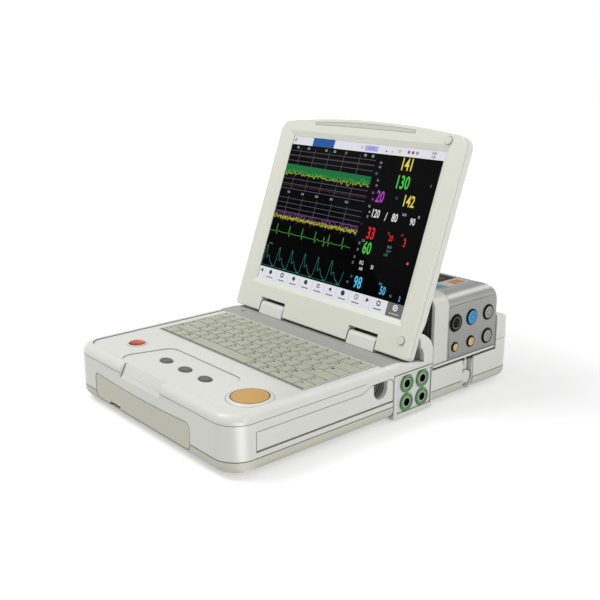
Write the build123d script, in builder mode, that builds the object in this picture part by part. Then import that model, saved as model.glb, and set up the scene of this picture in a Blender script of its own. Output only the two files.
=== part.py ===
from build123d import *
import os
from math import asin, cos, degrees, pi, radians, sin

os.makedirs("parts", exist_ok=True)

# A cardiotocograph: a laptop-shaped monitor with a recorder drawer, a plug-in module and a tilting display.
# X runs to the user's right, Y to the back and Z up. The origin is on the table under the middle of the base.
# All lengths are in millimetres.

# Base outline, its three shells and the fits between pieces
base_width = 292
base_depth = 414
front_corner_radius = 26
rear_corner_radius = 16
wall = 2.6
foot_height = 4.5
pan_height = 13.5
frame_height = 35.5
cover_height = 10.3
pan_edge_radius = 9
cover_edge_radius = 8.5
deck_recess = 0.8
rim_width = 11
seam_depth = 0.6
seam_width = 0.9
fit_gap = 0.3
running_gap = 0.06
moving_gap = 0.5
overrun = 4

half_width = base_width / 2
front_y = -base_depth / 2
back_y = base_depth / 2
frame_bottom = foot_height + pan_height
frame_top = frame_bottom + frame_height
rim_top = frame_top + cover_height
deck_top = rim_top - deck_recess
deck_underside = deck_top - wall
floor_top = foot_height + wall

# Display lid: its hinge line, its lean at rest and its size about the hinge
lid_lean = 20
lid_overhang = 2
lid_width = base_width + 2 * lid_overhang
hinge_y = 28.8
hinge_height = 8.6
hinge_to_front = 5.5
hinge_to_bottom = 8.5
hinge_to_display = 31
lid_corner_rise = 233
lid_crown = 8.7
lid_corner_radius = 14
lid_foot_radius = 5
lid_foot_depth = 11
lid_full_depth = 18
lid_taper_start = 20
lid_taper_run = 25
lid_back_round = 5
lid_edge_round = 1.6
bezel_depth = 5
lid_wall = 2.4

hinge_z = deck_top + hinge_height

# Hinge well: the grey strip and the sloping floor that the lid's lower edge sinks toward
well_to_hinge = 37.8
well_front_y = hinge_y - well_to_hinge
ramp_to_hinge = 17
ramp_drop_share = 0.167
trough_radius = 19.5
trough_centre_y = hinge_y + 2.7
trough_centre_drop = 2.2
well_side_margin = 6
well_wall = 2

# Hump behind the lid, with the module bay at its right end
crest_y = hinge_y + 16.2
crest_height = 27
cheek_radius = 34
cheek_centre_y = hinge_y + 4.7
cheek_centre_drop = 4.2
hump_rear_height = 23
rear_round = 29
hump_edge_radius = 12
bay_left_x = -8
bay_front_y = 65.5
bay_to_back = 28.5
bay_rear_y = back_y - bay_to_back
bay_floor = 42.5
bay_wall = 2

# Recorder drawer on the right side
drawer_to_front = 29.5
drawer_to_block = 1.5
block_front_y = 5
drawer_front_y = front_y + drawer_to_front
drawer_rear_y = block_front_y - drawer_to_block
drawer_bottom = 25.5
drawer_low_height = 18.5
drawer_step_rise = 6
drawer_step_to_rear = 44.8
drawer_step_y = drawer_rear_y - drawer_step_to_rear
drawer_step_run = 12.8
drawer_step_round = 8
drawer_corner_radius = 6
drawer_thickness = 5
paper_slot = 2
notch_radius = 10
notch_from_end = 18.8
notch_depth_below_top = 8
notch_depth = 9

# Connector block on the right side
block_length = 60
block_top = 51.5
block_bottom = 2.4
block_proud = 1.2
block_depth = 9
block_border = 2
ring_outer_radius = 9.5
ring_inner_radius = 6.6
ring_height = 2
ring_front_y = 24.2
ring_pitch_y = 24.4
ring_low_z = 18.5
ring_pitch_z = 21
probe_bore_radius = 4.5
probe_bore_depth = 10

# Plug-in module
module_length = 152
module_front_y = 66
module_rear_gap = 3.5
module_depth = bay_rear_y - module_rear_gap - module_front_y
module_bottom = 46
module_height = 80
module_right_round = 15
module_rear_round = 25
module_edge_round = 3
module_trim_width = 23

# Front carrying handle
handle_left_x = -101
handle_length = 181.6
handle_bottom = 11
handle_height = 25.5
handle_flare = 3
handle_thickness = 11
handle_end_round = 6

# Keyboard: its opening, six rows and the travel of a key
keyboard_left_margin = 24
keyboard_right_margin = 15
keyboard_to_front = 99
keyboard_to_well = 2
keyboard_left_x = keyboard_left_margin - half_width
keyboard_width = base_width - keyboard_left_margin - keyboard_right_margin
keyboard_front_y = front_y + keyboard_to_front
keyboard_depth = well_front_y - keyboard_to_well - keyboard_front_y
keyboard_border = 1.6
keyboard_lip = 0.6
key_rows = 6
key_columns = 15
key_gap = 1.1
key_cap_height = 4.6
key_rise = 1.3
key_travel = 2
key_chamfer = 0.9
plunger_size = 4
plunger_length = 6.5

# Front controls
pad_centre_x = 8
pad_front_inset = 66
pad_rear_inset = 82
pad_to_front = 10
pad_length = 62.5
pad_front_half = half_width - pad_front_inset
pad_rear_half = half_width - pad_rear_inset
pad_front_y = front_y + pad_to_front
pad_rear_y = pad_front_y + pad_length
pad_depth = 0.8
deck_groove = 1
deck_groove_depth = 0.5
pad_round = 14
oval_first_x = -26
oval_pitch = 35.4
oval_to_front = 44.6
oval_y = front_y + oval_to_front
oval_length = 17
oval_width = 12.5
power_to_side = 51.8
power_to_front = 49.5
power_x = power_to_side - half_width
power_y = front_y + power_to_front
power_radius = 8.6
power_ring_radius = 11.5
power_dome = 2
button_travel = 1.2
stem_radius = 3
knob_to_side = 32.8
knob_to_front = 48
knob_x = half_width - knob_to_side
knob_y = front_y + knob_to_front
knob_radius = 18.6
knob_ring_radius = 23.4
knob_ring_inner_radius = 19.4
knob_ring_rise = 1.6
knob_rise = 2
knob_thickness = 4.3


def level(height):
    """A horizontal plane at a height above the table."""
    return Plane.XY.offset(height)


def side(x):
    """A plane that looks along +X; its own x is the object's Y and its own y is Z."""
    return Plane.YZ.offset(x)


def front(y):
    """A plane that looks along -Y; its own x is the object's X and its own y is Z."""
    return Plane.XZ.offset(-y)


def block(low, high, mode=Mode.ADD):
    """A box between two opposite corners, in the open part."""
    centre = tuple((a + b) / 2 for a, b in zip(low, high))
    size = [b - a for a, b in zip(low, high)]
    with Locations(centre):
        Box(*size, mode=mode)


def rod(start, direction, radius, length, mode=Mode.ADD):
    """A round bar from a point along a direction, in the open part."""
    with Locations(Plane(origin=start, z_dir=direction)):
        Cylinder(radius, length, align=(Align.CENTER, Align.CENTER, Align.MIN), mode=mode)


def span(x0, y0, x1, y1, mode=Mode.ADD):
    """A rectangle between two opposite corners, in the open sketch."""
    with Locations(((x0 + x1) / 2, (y0 + y1) / 2)):
        Rectangle(x1 - x0, y1 - y0, mode=mode)


def hand_in(piece, name):
    """Labels a finished piece and writes it as its own STEP file."""
    piece.part.label = name
    export_step(piece.part, f"parts/{name}.step")


def base_outline(inset):
    """Plan outline of the base drawn in by an inset: wide front corners and tighter rear ones."""
    Rectangle(base_width - 2 * inset, base_depth - 2 * inset)
    fillet(vertices().sort_by(Axis.Y)[:2], front_corner_radius - inset)
    fillet(vertices().sort_by(Axis.Y)[-2:], rear_corner_radius - inset)


def base_solid(inset, bottom, top, bottom_radius=0, top_radius=0):
    """A solid on the base outline between two levels, with its lower or upper edge rounded."""
    with BuildPart() as solid:
        with BuildSketch(level(bottom)):
            base_outline(inset)
        extrude(amount=top - bottom)
        if bottom_radius:
            fillet(solid.faces().sort_by(Axis.Z)[0].edges(), bottom_radius)
        if top_radius:
            fillet(solid.faces().sort_by(Axis.Z)[-1].edges(), top_radius)
    return solid.part


def seam_ring(height):
    """The ring of material to cut away for the shadow groove at a seam between two shells."""
    with BuildPart() as ring:
        add(base_solid(-overrun, height - seam_width / 2, height + seam_width / 2))
        add(base_solid(seam_depth, height - seam_width, height + seam_width), mode=Mode.SUBTRACT)
    return ring.part


def rim_groove():
    """The thin channel in the deck along the foot of the rim, in front of the hinge well."""
    with BuildPart() as ring:
        add(base_solid(rim_width, deck_top - deck_groove_depth, rim_top))
        add(base_solid(rim_width + deck_groove, deck_underside, rim_top + overrun), mode=Mode.SUBTRACT)
        block(
            (-half_width, well_front_y, deck_underside), (half_width, back_y, rim_top + overrun), Mode.SUBTRACT
        )
    return ring.part


def drawer_outline(margin):
    """Side outline of the drawer front: low and long, stepping up through an S-curve at its rear end."""
    low_top = drawer_bottom + drawer_low_height + margin
    high_top = low_top + drawer_step_rise
    with BuildLine() as path:
        Polyline(
            (drawer_front_y - margin, drawer_bottom),
            (drawer_rear_y + margin, drawer_bottom),
            (drawer_rear_y + margin, high_top),
            (drawer_step_y + drawer_step_run, high_top),
            (drawer_step_y, low_top),
            (drawer_front_y - margin, low_top),
            close=True,
        )
    make_face(path.edges())
    fillet(vertices().sort_by(Axis.X)[2:4], drawer_step_round)
    fillet(vertices().sort_by(Axis.X)[-2:].sort_by(Axis.Y)[-1], drawer_corner_radius)


def seam_step_outline():
    """Side outline of the low step by which the frame rises into the cover beside the lid."""
    with BuildLine() as path:
        Polyline(
            (seam_step_y, frame_top - overrun),
            (seam_step_y, frame_top),
            (seam_step_y + seam_step_run, frame_top + seam_step),
            (bay_front_y, frame_top + seam_step),
            (bay_front_y, frame_top - overrun),
            close=True,
        )
    make_face(path.edges())


def scoop_outline():
    """Side outline of the lifting notch in the front rim, a sloping cut."""
    with BuildLine() as path:
        Polyline(
            (front_y - overrun, rim_top + overrun),
            (front_y + scoop_depth, rim_top + overrun),
            (front_y + scoop_depth, rim_top),
            (front_y, rim_top - scoop_drop),
            (front_y - overrun, rim_top - scoop_drop),
            close=True,
        )
    make_face(path.edges())


def latch_outline(margin, bottom, top):
    """Side outline of the latch recess or tab: straight sides and a round bottom."""
    radius = latch_width / 2 - margin
    with Locations((latch_y, bottom + margin + radius)):
        Circle(radius)
    span(latch_y - radius, bottom + margin + radius, latch_y + radius, top)


def handle_outline(margin):
    """Front outline of the handle: its ends rise a little above the middle."""
    low = handle_bottom - margin
    high = handle_bottom + handle_height + margin
    middle_x = (handle_left_x + handle_right_x) / 2
    with BuildLine() as path:
        Line((handle_left_x - margin, low), (handle_right_x + margin, low))
        Line((handle_right_x + margin, low), (handle_right_x + margin, high + handle_flare))
        ThreePointArc(
            (handle_right_x + margin, high + handle_flare),
            (middle_x, high),
            (handle_left_x - margin, high + handle_flare),
        )
        Line((handle_left_x - margin, high + handle_flare), (handle_left_x - margin, low))
    make_face(path.edges())
    fillet(vertices(), handle_end_round + margin)


def ramp_height(y, drop=0):
    """The height of the sloping floor under the lid's edge, a drop below its surface."""
    return rim_top - (y - ramp_front_y) * ramp_drop_share - drop


def ramp_end_height(radius, drop):
    """The height at which the lowered floor line meets a circle about the trough's centre, behind it."""
    rise = ramp_height(trough_centre_y, drop) - trough_centre_z
    slope = ramp_drop_share
    root = (rise * slope) ** 2 - (1 + slope**2) * (rise**2 - radius**2)
    run = (rise * slope + root ** (1 / 2)) / (1 + slope**2)
    return ramp_height(trough_centre_y + run, drop)


def arc_angle(radius, z):
    """The angle in degrees at which a circle about the trough's centre reaches a height behind it."""
    return degrees(asin((z - trough_centre_z) / radius))


def well_outline(margin, high):
    """Side outline of the room that the hinge well takes up in the cover, open upward."""
    radius = trough_radius + well_wall + margin
    strip_z = deck_top - well_wall - margin
    end_z = ramp_end_height(radius, well_wall + margin)
    start = arc_angle(radius, end_z)
    with BuildLine() as path:
        Polyline(
            (trough_top_y, high),
            (well_front_y - margin, high),
            (well_front_y - margin, strip_z),
            (trough_front_y, strip_z),
            (trough_centre_y + radius * cos(radians(start)), end_z),
        )
        CenterArc((trough_centre_y, trough_centre_z), radius, start, trough_end - start)
        Polyline(
            (
                trough_centre_y + radius * cos(radians(trough_end)),
                trough_centre_z + radius * sin(radians(trough_end)),
            ),
            (trough_top_y, trough_top_z + margin),
            (trough_top_y, high),
        )
    make_face(path.edges())


def lid_plane(height):
    """A plane in line with the leaning display, a height in front of the hinge line; its y runs up the lid."""
    lean = radians(lid_lean)
    forward = (0, -cos(lean), sin(lean))
    return Plane(origin=(0, hinge_y, hinge_z), x_dir=(1, 0, 0), z_dir=forward).offset(height)


def lid_outline(inset):
    """Front outline of the lid drawn in by an inset: straight sides, a crowned top and rounded corners."""
    half = lid_width / 2 - inset
    low = inset - hinge_to_bottom
    high = lid_corner_rise - inset
    with BuildLine() as path:
        Polyline((-half, high), (-half, low), (half, low), (half, high))
        ThreePointArc((half, high), (0, high + lid_crown), (-half, high))
    make_face(path.edges())
    fillet(vertices().sort_by(Axis.Y)[:2], lid_foot_radius - min(inset, lid_foot_radius - lid_edge_round))
    fillet(vertices().sort_by(Axis.Y)[-2:], lid_corner_radius - inset)


# Positions that several pieces share
handle_right_x = handle_left_x + handle_length
handle_top = handle_bottom + handle_height
block_rear_y = block_front_y + block_length
seam_step = 1.8
seam_step_y = -37.3
seam_step_run = 5.7
scoop_left_x = -46
scoop_width = 76
scoop_depth = 8
scoop_drop = 15.3
latch_y = 127.5
latch_width = 20
latch_bottom = 5.2
trough_centre_z = deck_top - trough_centre_drop
ramp_front_y = hinge_y - ramp_to_hinge
trough_front_y = ramp_front_y + deck_recess / ramp_drop_share
trough_end = 46.7
trough_top_y = trough_centre_y + trough_radius * cos(radians(trough_end))
trough_top_z = trough_centre_z + trough_radius * sin(radians(trough_end))
well_half = half_width - well_side_margin
crest_z = deck_top + crest_height
cheek_centre_z = deck_top - cheek_centre_drop
high_z = crest_z + lid_corner_rise

# Bottom pan: a greenish-grey tray whose lower edge curves under, with screw bosses and handle guides
boss_radius = 4
boss_bore = 1.3
boss_inset = 14
boss_points = [
    (boss_inset - half_width, front_y + boss_inset + boss_inset),
    (boss_inset - half_width, 0),
    (boss_inset - half_width, back_y - boss_inset),
    (half_width - boss_inset - boss_inset, back_y - boss_inset),
    (0, back_y - boss_inset),
    (0, 0),
]
arm_width = 14
arm_thickness = 3
arm_length = 60
arm_bottom = 14
arm_inset = 20
guide_wall = 2
guide_length = 44
liner_gap = 0.5
liner_thickness = 1.6
slit_left_x = -72
slit_length = 22
slit_height = 3.5
handle_rear_y = front_y + handle_thickness
arm_xs = [handle_left_x + arm_inset, handle_right_x - arm_inset]
guide_front_y = handle_rear_y + liner_gap
with BuildPart() as bottom_pan:
    add(base_solid(0, foot_height, frame_bottom, bottom_radius=pan_edge_radius))
    add(
        base_solid(wall, floor_top, frame_bottom + overrun, bottom_radius=pan_edge_radius - wall),
        mode=Mode.SUBTRACT,
    )
    with BuildSketch(level(floor_top)):
        with Locations(*boss_points):
            Circle(boss_radius)
    extrude(amount=frame_bottom - floor_top)
    for x, y in boss_points:
        rod((x, y, foot_height - overrun), (0, 0, 1), boss_bore, 2 * pan_height, Mode.SUBTRACT)
    with BuildSketch(front(front_y - overrun)):
        handle_outline(moving_gap)
    extrude(amount=-(handle_thickness + overrun + overrun), mode=Mode.SUBTRACT)
    block(
        (half_width + block_proud - block_depth - fit_gap, block_front_y - fit_gap, -overrun),
        (half_width + overrun, block_rear_y + fit_gap, frame_bottom + overrun),
        Mode.SUBTRACT,
    )
    with BuildSketch(side(half_width + overrun)):
        latch_outline(0, latch_bottom, frame_bottom + overrun)
    extrude(amount=-(rim_width + overrun), mode=Mode.SUBTRACT)
    add(seam_ring(frame_bottom), mode=Mode.SUBTRACT)
    block(
        (handle_left_x - guide_wall, guide_front_y, floor_top),
        (
            handle_right_x + guide_wall,
            guide_front_y + liner_thickness,
            handle_top + handle_flare + guide_wall,
        ),
    )
    for x in arm_xs:
        block(
            (x - arm_width / 2 - guide_wall - fit_gap, guide_front_y, floor_top),
            (
                x + arm_width / 2 + guide_wall + fit_gap,
                guide_front_y + guide_length,
                arm_bottom + arm_thickness + guide_wall + fit_gap,
            ),
        )
        block(
            (x - arm_width / 2 - fit_gap, guide_front_y - overrun, arm_bottom - fit_gap),
            (
                x + arm_width / 2 + fit_gap,
                guide_front_y + guide_length + overrun,
                arm_bottom + arm_thickness + fit_gap,
            ),
            Mode.SUBTRACT,
        )
hand_in(bottom_pan, "bottom_pan")

# Rubber feet, four round pads bonded under the pan
foot_radius = 9
foot_inset = 34
foot_chamfer = 1
with BuildPart() as rubber_feet:
    with BuildSketch(level(0)):
        with GridLocations(base_width - 2 * foot_inset, base_depth - 2 * foot_inset, 2, 2):
            Circle(foot_radius)
    extrude(amount=foot_height)
    chamfer(rubber_feet.faces().sort_by(Axis.Z)[:4].edges(), foot_chamfer)
hand_in(rubber_feet, "rubber_feet")

# Case screws, six pan-head screws up through the pan's bosses
screw_head_radius = 3
screw_head_height = 1.6
screw_radius = boss_bore - running_gap
screw_length = 12
with BuildPart() as case_screws:
    for x, y in boss_points:
        rod((x, y, foot_height - screw_head_height), (0, 0, 1), screw_head_radius, screw_head_height)
        rod((x, y, foot_height), (0, 0, 1), screw_radius, screw_length)
hand_in(case_screws, "case_screws")


def scoop_backing():
    """The solid wall that stays behind the lifting notch, in both shells."""
    with BuildPart() as backing:
        block(
            (scoop_left_x - wall, front_y, rim_top - scoop_drop - wall),
            (scoop_left_x + scoop_width + wall, front_y + scoop_depth + wall, rim_top + overrun),
        )
    return backing.part


# Middle frame: the white side walls between the pan and the cover, open for the drawer, ports and speaker
speaker_y = -60
speaker_z = 36
speaker_radius = 18
grille_slots = 7
grille_pitch = 4.5
grille_slot_width = 2
grille_slot_length = 26
inlet_x = -100
inlet_z = 36
inlet_width = 28
inlet_height = 21
port_left_x = 22
port_pitch = 28
port_count = 2
port_width = 17
port_height = 14
port_z = 35
stud_x = -62
stud_z = 36
stud_radius = 3
stud_flange_radius = 7
latch_x = half_width - seam_depth
latch_cup_depth = 8
latch_cup_wall = 1.6
with BuildPart() as frame_room:
    add(base_solid(wall, frame_bottom - overrun, frame_top + overrun))
    add(scoop_backing(), mode=Mode.SUBTRACT)
with BuildPart() as middle_frame:
    add(base_solid(0, frame_bottom, frame_top))
    with BuildSketch(side(half_width - rim_width)):
        seam_step_outline()
    extrude(amount=rim_width)
    add(frame_room.part, mode=Mode.SUBTRACT)
    with BuildSketch(front(front_y - overrun)):
        handle_outline(moving_gap)
    extrude(amount=-(handle_thickness + overrun + overrun), mode=Mode.SUBTRACT)
    with BuildSketch(side(half_width + overrun)):
        drawer_outline(moving_gap)
        span(
            drawer_front_y - moving_gap,
            drawer_bottom - paper_slot,
            drawer_rear_y + moving_gap,
            drawer_bottom,
        )
    extrude(amount=-(rim_width + overrun), mode=Mode.SUBTRACT)
    block(
        (half_width + block_proud - block_depth - fit_gap, block_front_y - fit_gap, frame_bottom - overrun),
        (half_width + overrun, block_rear_y + fit_gap, block_top + fit_gap),
        Mode.SUBTRACT,
    )
    block(
        (half_width - rim_width, bay_front_y, bay_floor),
        (half_width + overrun, bay_rear_y, frame_top + overrun),
        Mode.SUBTRACT,
    )
    with BuildSketch(side(half_width + overrun)):
        latch_outline(0, latch_bottom, bay_floor + overrun)
    extrude(amount=-(rim_width + overrun), mode=Mode.SUBTRACT)
    with BuildSketch(side(scoop_left_x)):
        scoop_outline()
    extrude(amount=scoop_width, mode=Mode.SUBTRACT)
    add(seam_ring(frame_bottom), mode=Mode.SUBTRACT)
    with BuildSketch(side(latch_x)):
        latch_outline(fit_gap, latch_bottom, bay_floor - bay_wall)
        span(
            latch_y - latch_width / 2,
            frame_bottom + wall,
            latch_y + latch_width / 2,
            bay_floor - bay_wall,
        )
    extrude(amount=-latch_cup_depth)
    with BuildSketch(side(latch_x)):
        latch_outline(fit_gap + latch_cup_wall, latch_bottom, bay_floor)
    extrude(amount=latch_cup_wall - latch_cup_depth, mode=Mode.SUBTRACT)
    with BuildSketch(side(-(half_width + overrun))):
        with Locations((speaker_y, speaker_z)):
            with GridLocations(grille_pitch, 0, grille_slots, 1):
                SlotOverall(grille_slot_length, grille_slot_width, rotation=90)
    extrude(amount=rim_width, mode=Mode.SUBTRACT)
    with BuildSketch(front(back_y + overrun)):
        with Locations((inlet_x, inlet_z)):
            Rectangle(inlet_width + fit_gap, inlet_height + fit_gap)
        for index in range(port_count):
            with Locations((port_left_x + index * port_pitch, port_z)):
                Rectangle(port_width + fit_gap, port_height + fit_gap)
        with Locations((stud_x, stud_z)):
            Circle(stud_radius + fit_gap)
    extrude(amount=rim_width, mode=Mode.SUBTRACT)
hand_in(middle_frame, "middle_frame")


def hump_solid(inset):
    """The rear hump: a crest behind the lid, a gently falling top, rounded sides and a quarter-round back."""
    radius = rear_round - inset
    end = back_y - inset
    rear_top = deck_top + hump_rear_height - inset
    with BuildPart() as solid:
        with BuildSketch(side(-half_width)):
            with BuildLine():
                Polyline(
                    (end, rear_top - radius),
                    (end, frame_top),
                    (crest_y + inset, frame_top),
                    (crest_y + inset, crest_z - inset),
                    (end - radius, rear_top),
                )
                CenterArc((end - radius, rear_top - radius), radius, 0, 90)
            make_face()
        extrude(amount=base_width)
        with BuildSketch(level(frame_top)):
            base_outline(inset)
        extrude(amount=crest_height + frame_height, mode=Mode.INTERSECT)
        with BuildSketch(front(back_y)) as end_profile:
            span(inset - half_width, frame_top, half_width - inset, crest_z - inset)
            fillet(end_profile.vertices().group_by(Axis.Y)[-1], hump_edge_radius - inset)
        extrude(amount=base_depth, mode=Mode.INTERSECT)
    return solid.part


# Top cover: the white deck with its raised rim, the hump behind the lid and the open module bay
led_from_side = 3.8
led_x = led_from_side - half_width
led_to_well = 15
led_first_y = well_front_y - led_to_well
led_pitch = 10
led_count = 3
led_radius = 1.2
microphone_to_side = 28.3
microphone_to_hinge = 19.4
microphone_x = microphone_to_side - half_width
microphone_y = hinge_y - microphone_to_hinge
microphone_radius = 2.2
oval_count = 3
power_ring_rise = 0.7
ring_taper = 30
key_pitch_x = keyboard_width / key_columns
key_pitch_y = keyboard_depth / key_rows
cap_top = deck_top + key_rise
cap_bottom = cap_top - key_cap_height
plate_top = cap_bottom - key_travel - moving_gap
plate_thickness = 1.5
plate_bottom = plate_top - plate_thickness
keyboard_centre = (keyboard_left_x + keyboard_width / 2, keyboard_front_y + keyboard_depth / 2)


def pad_outline():
    """Plan outline of the control pad, a trapezium with rounded corners that widens toward the user."""
    with BuildLine() as path:
        Polyline(
            (pad_centre_x - pad_front_half, pad_front_y),
            (pad_centre_x + pad_front_half, pad_front_y),
            (pad_centre_x + pad_rear_half, pad_rear_y),
            (pad_centre_x - pad_rear_half, pad_rear_y),
            close=True,
        )
    make_face(path.edges())
    fillet(vertices(), pad_round)


with BuildPart() as hump_room:
    add(hump_solid(wall))
    block(
        (bay_left_x - bay_wall - wall, front_y, frame_top - overrun),
        (half_width, bay_rear_y + wall, high_z),
        Mode.SUBTRACT,
    )
    with BuildSketch(side(-half_width)):
        with Locations((trough_centre_y, trough_centre_z)):
            Circle(trough_radius + well_wall + wall + fit_gap)
    extrude(amount=base_width, mode=Mode.SUBTRACT)
with BuildPart() as cover_room:
    add(base_solid(wall, frame_top - overrun, deck_underside))
    add(scoop_backing(), mode=Mode.SUBTRACT)
    for x in (-half_width, well_half - wall):
        block(
            (x, well_front_y, frame_top),
            (x + well_side_margin + wall, crest_y + rim_width, rim_top),
            Mode.SUBTRACT,
        )
with BuildPart() as top_cover:
    add(base_solid(0, frame_top, rim_top, top_radius=cover_edge_radius))
    with BuildSketch(level(deck_top)):
        base_outline(rim_width)
    extrude(amount=deck_recess, mode=Mode.SUBTRACT)
    add(hump_solid(0))
    with BuildSketch(side(-half_width)):
        with Locations((trough_centre_y, trough_centre_z)):
            Circle(trough_radius)
        with BuildLine():
            Polyline(
                (well_front_y, frame_top - overrun),
                (bay_front_y, frame_top - overrun),
                (bay_front_y, ramp_height(bay_front_y)),
                (ramp_front_y, rim_top),
                (well_front_y, rim_top),
                close=True,
            )
        make_face(mode=Mode.SUBTRACT)
    extrude(amount=base_width, mode=Mode.SUBTRACT)
    with BuildSketch(side(bay_left_x)):
        span(bay_front_y, bay_floor, bay_rear_y, high_z)
        span(crest_y - overrun, cheek_centre_z, bay_front_y, high_z)
        with Locations((cheek_centre_y, cheek_centre_z)):
            Circle(cheek_radius, mode=Mode.SUBTRACT)
        span(crest_y, bay_floor, bay_front_y, cheek_centre_z, mode=Mode.SUBTRACT)
        span(bay_front_y, bay_floor, bay_rear_y, high_z)
    extrude(amount=base_width, mode=Mode.SUBTRACT)
    with BuildSketch(side(-(well_half + fit_gap))):
        well_outline(fit_gap, high_z)
    extrude(amount=2 * (well_half + fit_gap), mode=Mode.SUBTRACT)
    add(cover_room.part, mode=Mode.SUBTRACT)
    add(hump_room.part, mode=Mode.SUBTRACT)
    with BuildSketch(side(half_width - rim_width)):
        seam_step_outline()
    extrude(amount=rim_width, mode=Mode.SUBTRACT)
    with BuildSketch(side(scoop_left_x)):
        scoop_outline()
    extrude(amount=scoop_width, mode=Mode.SUBTRACT)
    add(seam_ring(frame_top), mode=Mode.SUBTRACT)
    with BuildSketch(level(deck_top)):
        pad_outline()
    extrude(amount=-pad_depth, mode=Mode.SUBTRACT)
    add(rim_groove(), mode=Mode.SUBTRACT)
    with BuildSketch(level(deck_underside - overrun)):
        for index in range(oval_count):
            with Locations((oval_first_x + index * oval_pitch, oval_y)):
                Ellipse(oval_length / 2 + fit_gap, oval_width / 2 + fit_gap)
        with Locations((power_x, power_y)):
            Circle(power_radius + fit_gap)
        with Locations((knob_x, knob_y)):
            Circle(knob_ring_radius + fit_gap)
        with Locations((microphone_x, microphone_y)):
            Circle(microphone_radius)
        for index in range(led_count):
            with Locations((led_x, led_first_y + index * led_pitch)):
                Circle(led_radius + fit_gap)
        span(
            keyboard_left_x,
            keyboard_front_y,
            keyboard_left_x + keyboard_width,
            keyboard_front_y + keyboard_depth,
        )
    extrude(amount=cover_height + overrun, mode=Mode.SUBTRACT)
    with BuildSketch(level(plate_top)):
        with Locations(keyboard_centre):
            Rectangle(keyboard_width + 2 * keyboard_border, keyboard_depth + 2 * keyboard_border)
            Rectangle(keyboard_width, keyboard_depth, mode=Mode.SUBTRACT)
    extrude(amount=deck_top + keyboard_lip - plate_top)
    with BuildSketch(level(deck_top)):
        with Locations((power_x, power_y)):
            Circle(power_ring_radius)
            Circle(power_radius + fit_gap, mode=Mode.SUBTRACT)
    extrude(amount=power_ring_rise, taper=ring_taper)
hand_in(top_cover, "top_cover")

# Hinge well: a grey moulding let into the cover, with a flat strip, a sloping floor and a curved back
with BuildPart() as hinge_well:
    with BuildSketch(side(-well_half)):
        with BuildLine():
            inner_start = arc_angle(trough_radius, ramp_end_height(trough_radius, 0))
            outer_radius = trough_radius + well_wall
            outer_start = arc_angle(outer_radius, ramp_end_height(outer_radius, well_wall))
            inner_arc = CenterArc(
                (trough_centre_y, trough_centre_z), trough_radius, inner_start, trough_end - inner_start
            )
            outer_arc = CenterArc(
                (trough_centre_y, trough_centre_z),
                outer_radius,
                outer_start,
                trough_end - outer_start,
            )
            Line(inner_arc @ 1, outer_arc @ 1)
            Polyline(
                inner_arc @ 0,
                (trough_front_y, deck_top),
                (well_front_y, deck_top),
                (well_front_y, deck_top - well_wall),
                (trough_front_y, deck_top - well_wall),
                outer_arc @ 0,
            )
        make_face()
    extrude(amount=2 * well_half)
    with Locations((microphone_x, microphone_y, deck_top - well_wall)):
        Cylinder(microphone_radius, 2 * well_wall, mode=Mode.SUBTRACT)
hand_in(hinge_well, "hinge_well")

# Hinge blocks: two white knuckles screwed to the well's sloping floor, bored for the lid's pins
hinge_spacing = 156
hinge_block_width = 42
knuckle_radius = 5.2
pin_radius = 2.5
pin_length = 70
notch_width = 45
notch_rise = 9
block_rear_lean = 4
lid_up_y = sin(radians(lid_lean))
lid_up_z = cos(radians(lid_lean))
knuckle_front_y = hinge_y - knuckle_radius * lid_up_z
knuckle_front_z = hinge_z + knuckle_radius * lid_up_y
knuckle_foot_y = knuckle_front_y - (knuckle_front_z - ramp_height(knuckle_front_y)) * lid_up_y / lid_up_z
knuckle_rear_y = hinge_y + knuckle_radius + block_rear_lean
with BuildPart() as hinge_blocks:
    for x in (-hinge_spacing / 2, hinge_spacing / 2):
        with BuildSketch(side(x - hinge_block_width / 2)):
            with Locations((hinge_y, hinge_z)):
                Circle(knuckle_radius)
            with BuildLine():
                Polyline(
                    (knuckle_front_y, knuckle_front_z),
                    (knuckle_foot_y, ramp_height(knuckle_foot_y)),
                    (knuckle_rear_y, ramp_height(knuckle_rear_y)),
                    (hinge_y + knuckle_radius, hinge_z),
                    (hinge_y, hinge_z),
                    close=True,
                )
            make_face()
            with Locations((hinge_y, hinge_z)):
                Circle(pin_radius + running_gap, mode=Mode.SUBTRACT)
        extrude(amount=hinge_block_width)
hand_in(hinge_blocks, "hinge_blocks")

# Hinge pins: two friction pins that turn with the lid inside the blocks
with BuildPart() as hinge_pins:
    for x in (-hinge_spacing / 2, hinge_spacing / 2):
        rod((x - pin_length / 2, hinge_y, hinge_z), (1, 0, 0), pin_radius, pin_length)
hand_in(hinge_pins, "hinge_pins")

# Display lid, front half: a bevelled bezel around the display with a slot for the alarm light
screen_width = 246
screen_height = 184.5
bevel_width = 6.5
bevel_depth = 3
screen_ledge = 1
glass_overlap = 2
alarm_left_x = -86
alarm_length = 162
alarm_inset = 4.6
alarm_width = 5
alarm_depth = 2
panel_thickness = 6
panel_border = 3
screen_middle = hinge_to_display + screen_height / 2
bezel_back = hinge_to_front - bezel_depth
lid_axis = Axis((0, 0, 0), (0, -cos(radians(lid_lean)), sin(radians(lid_lean))))


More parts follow.
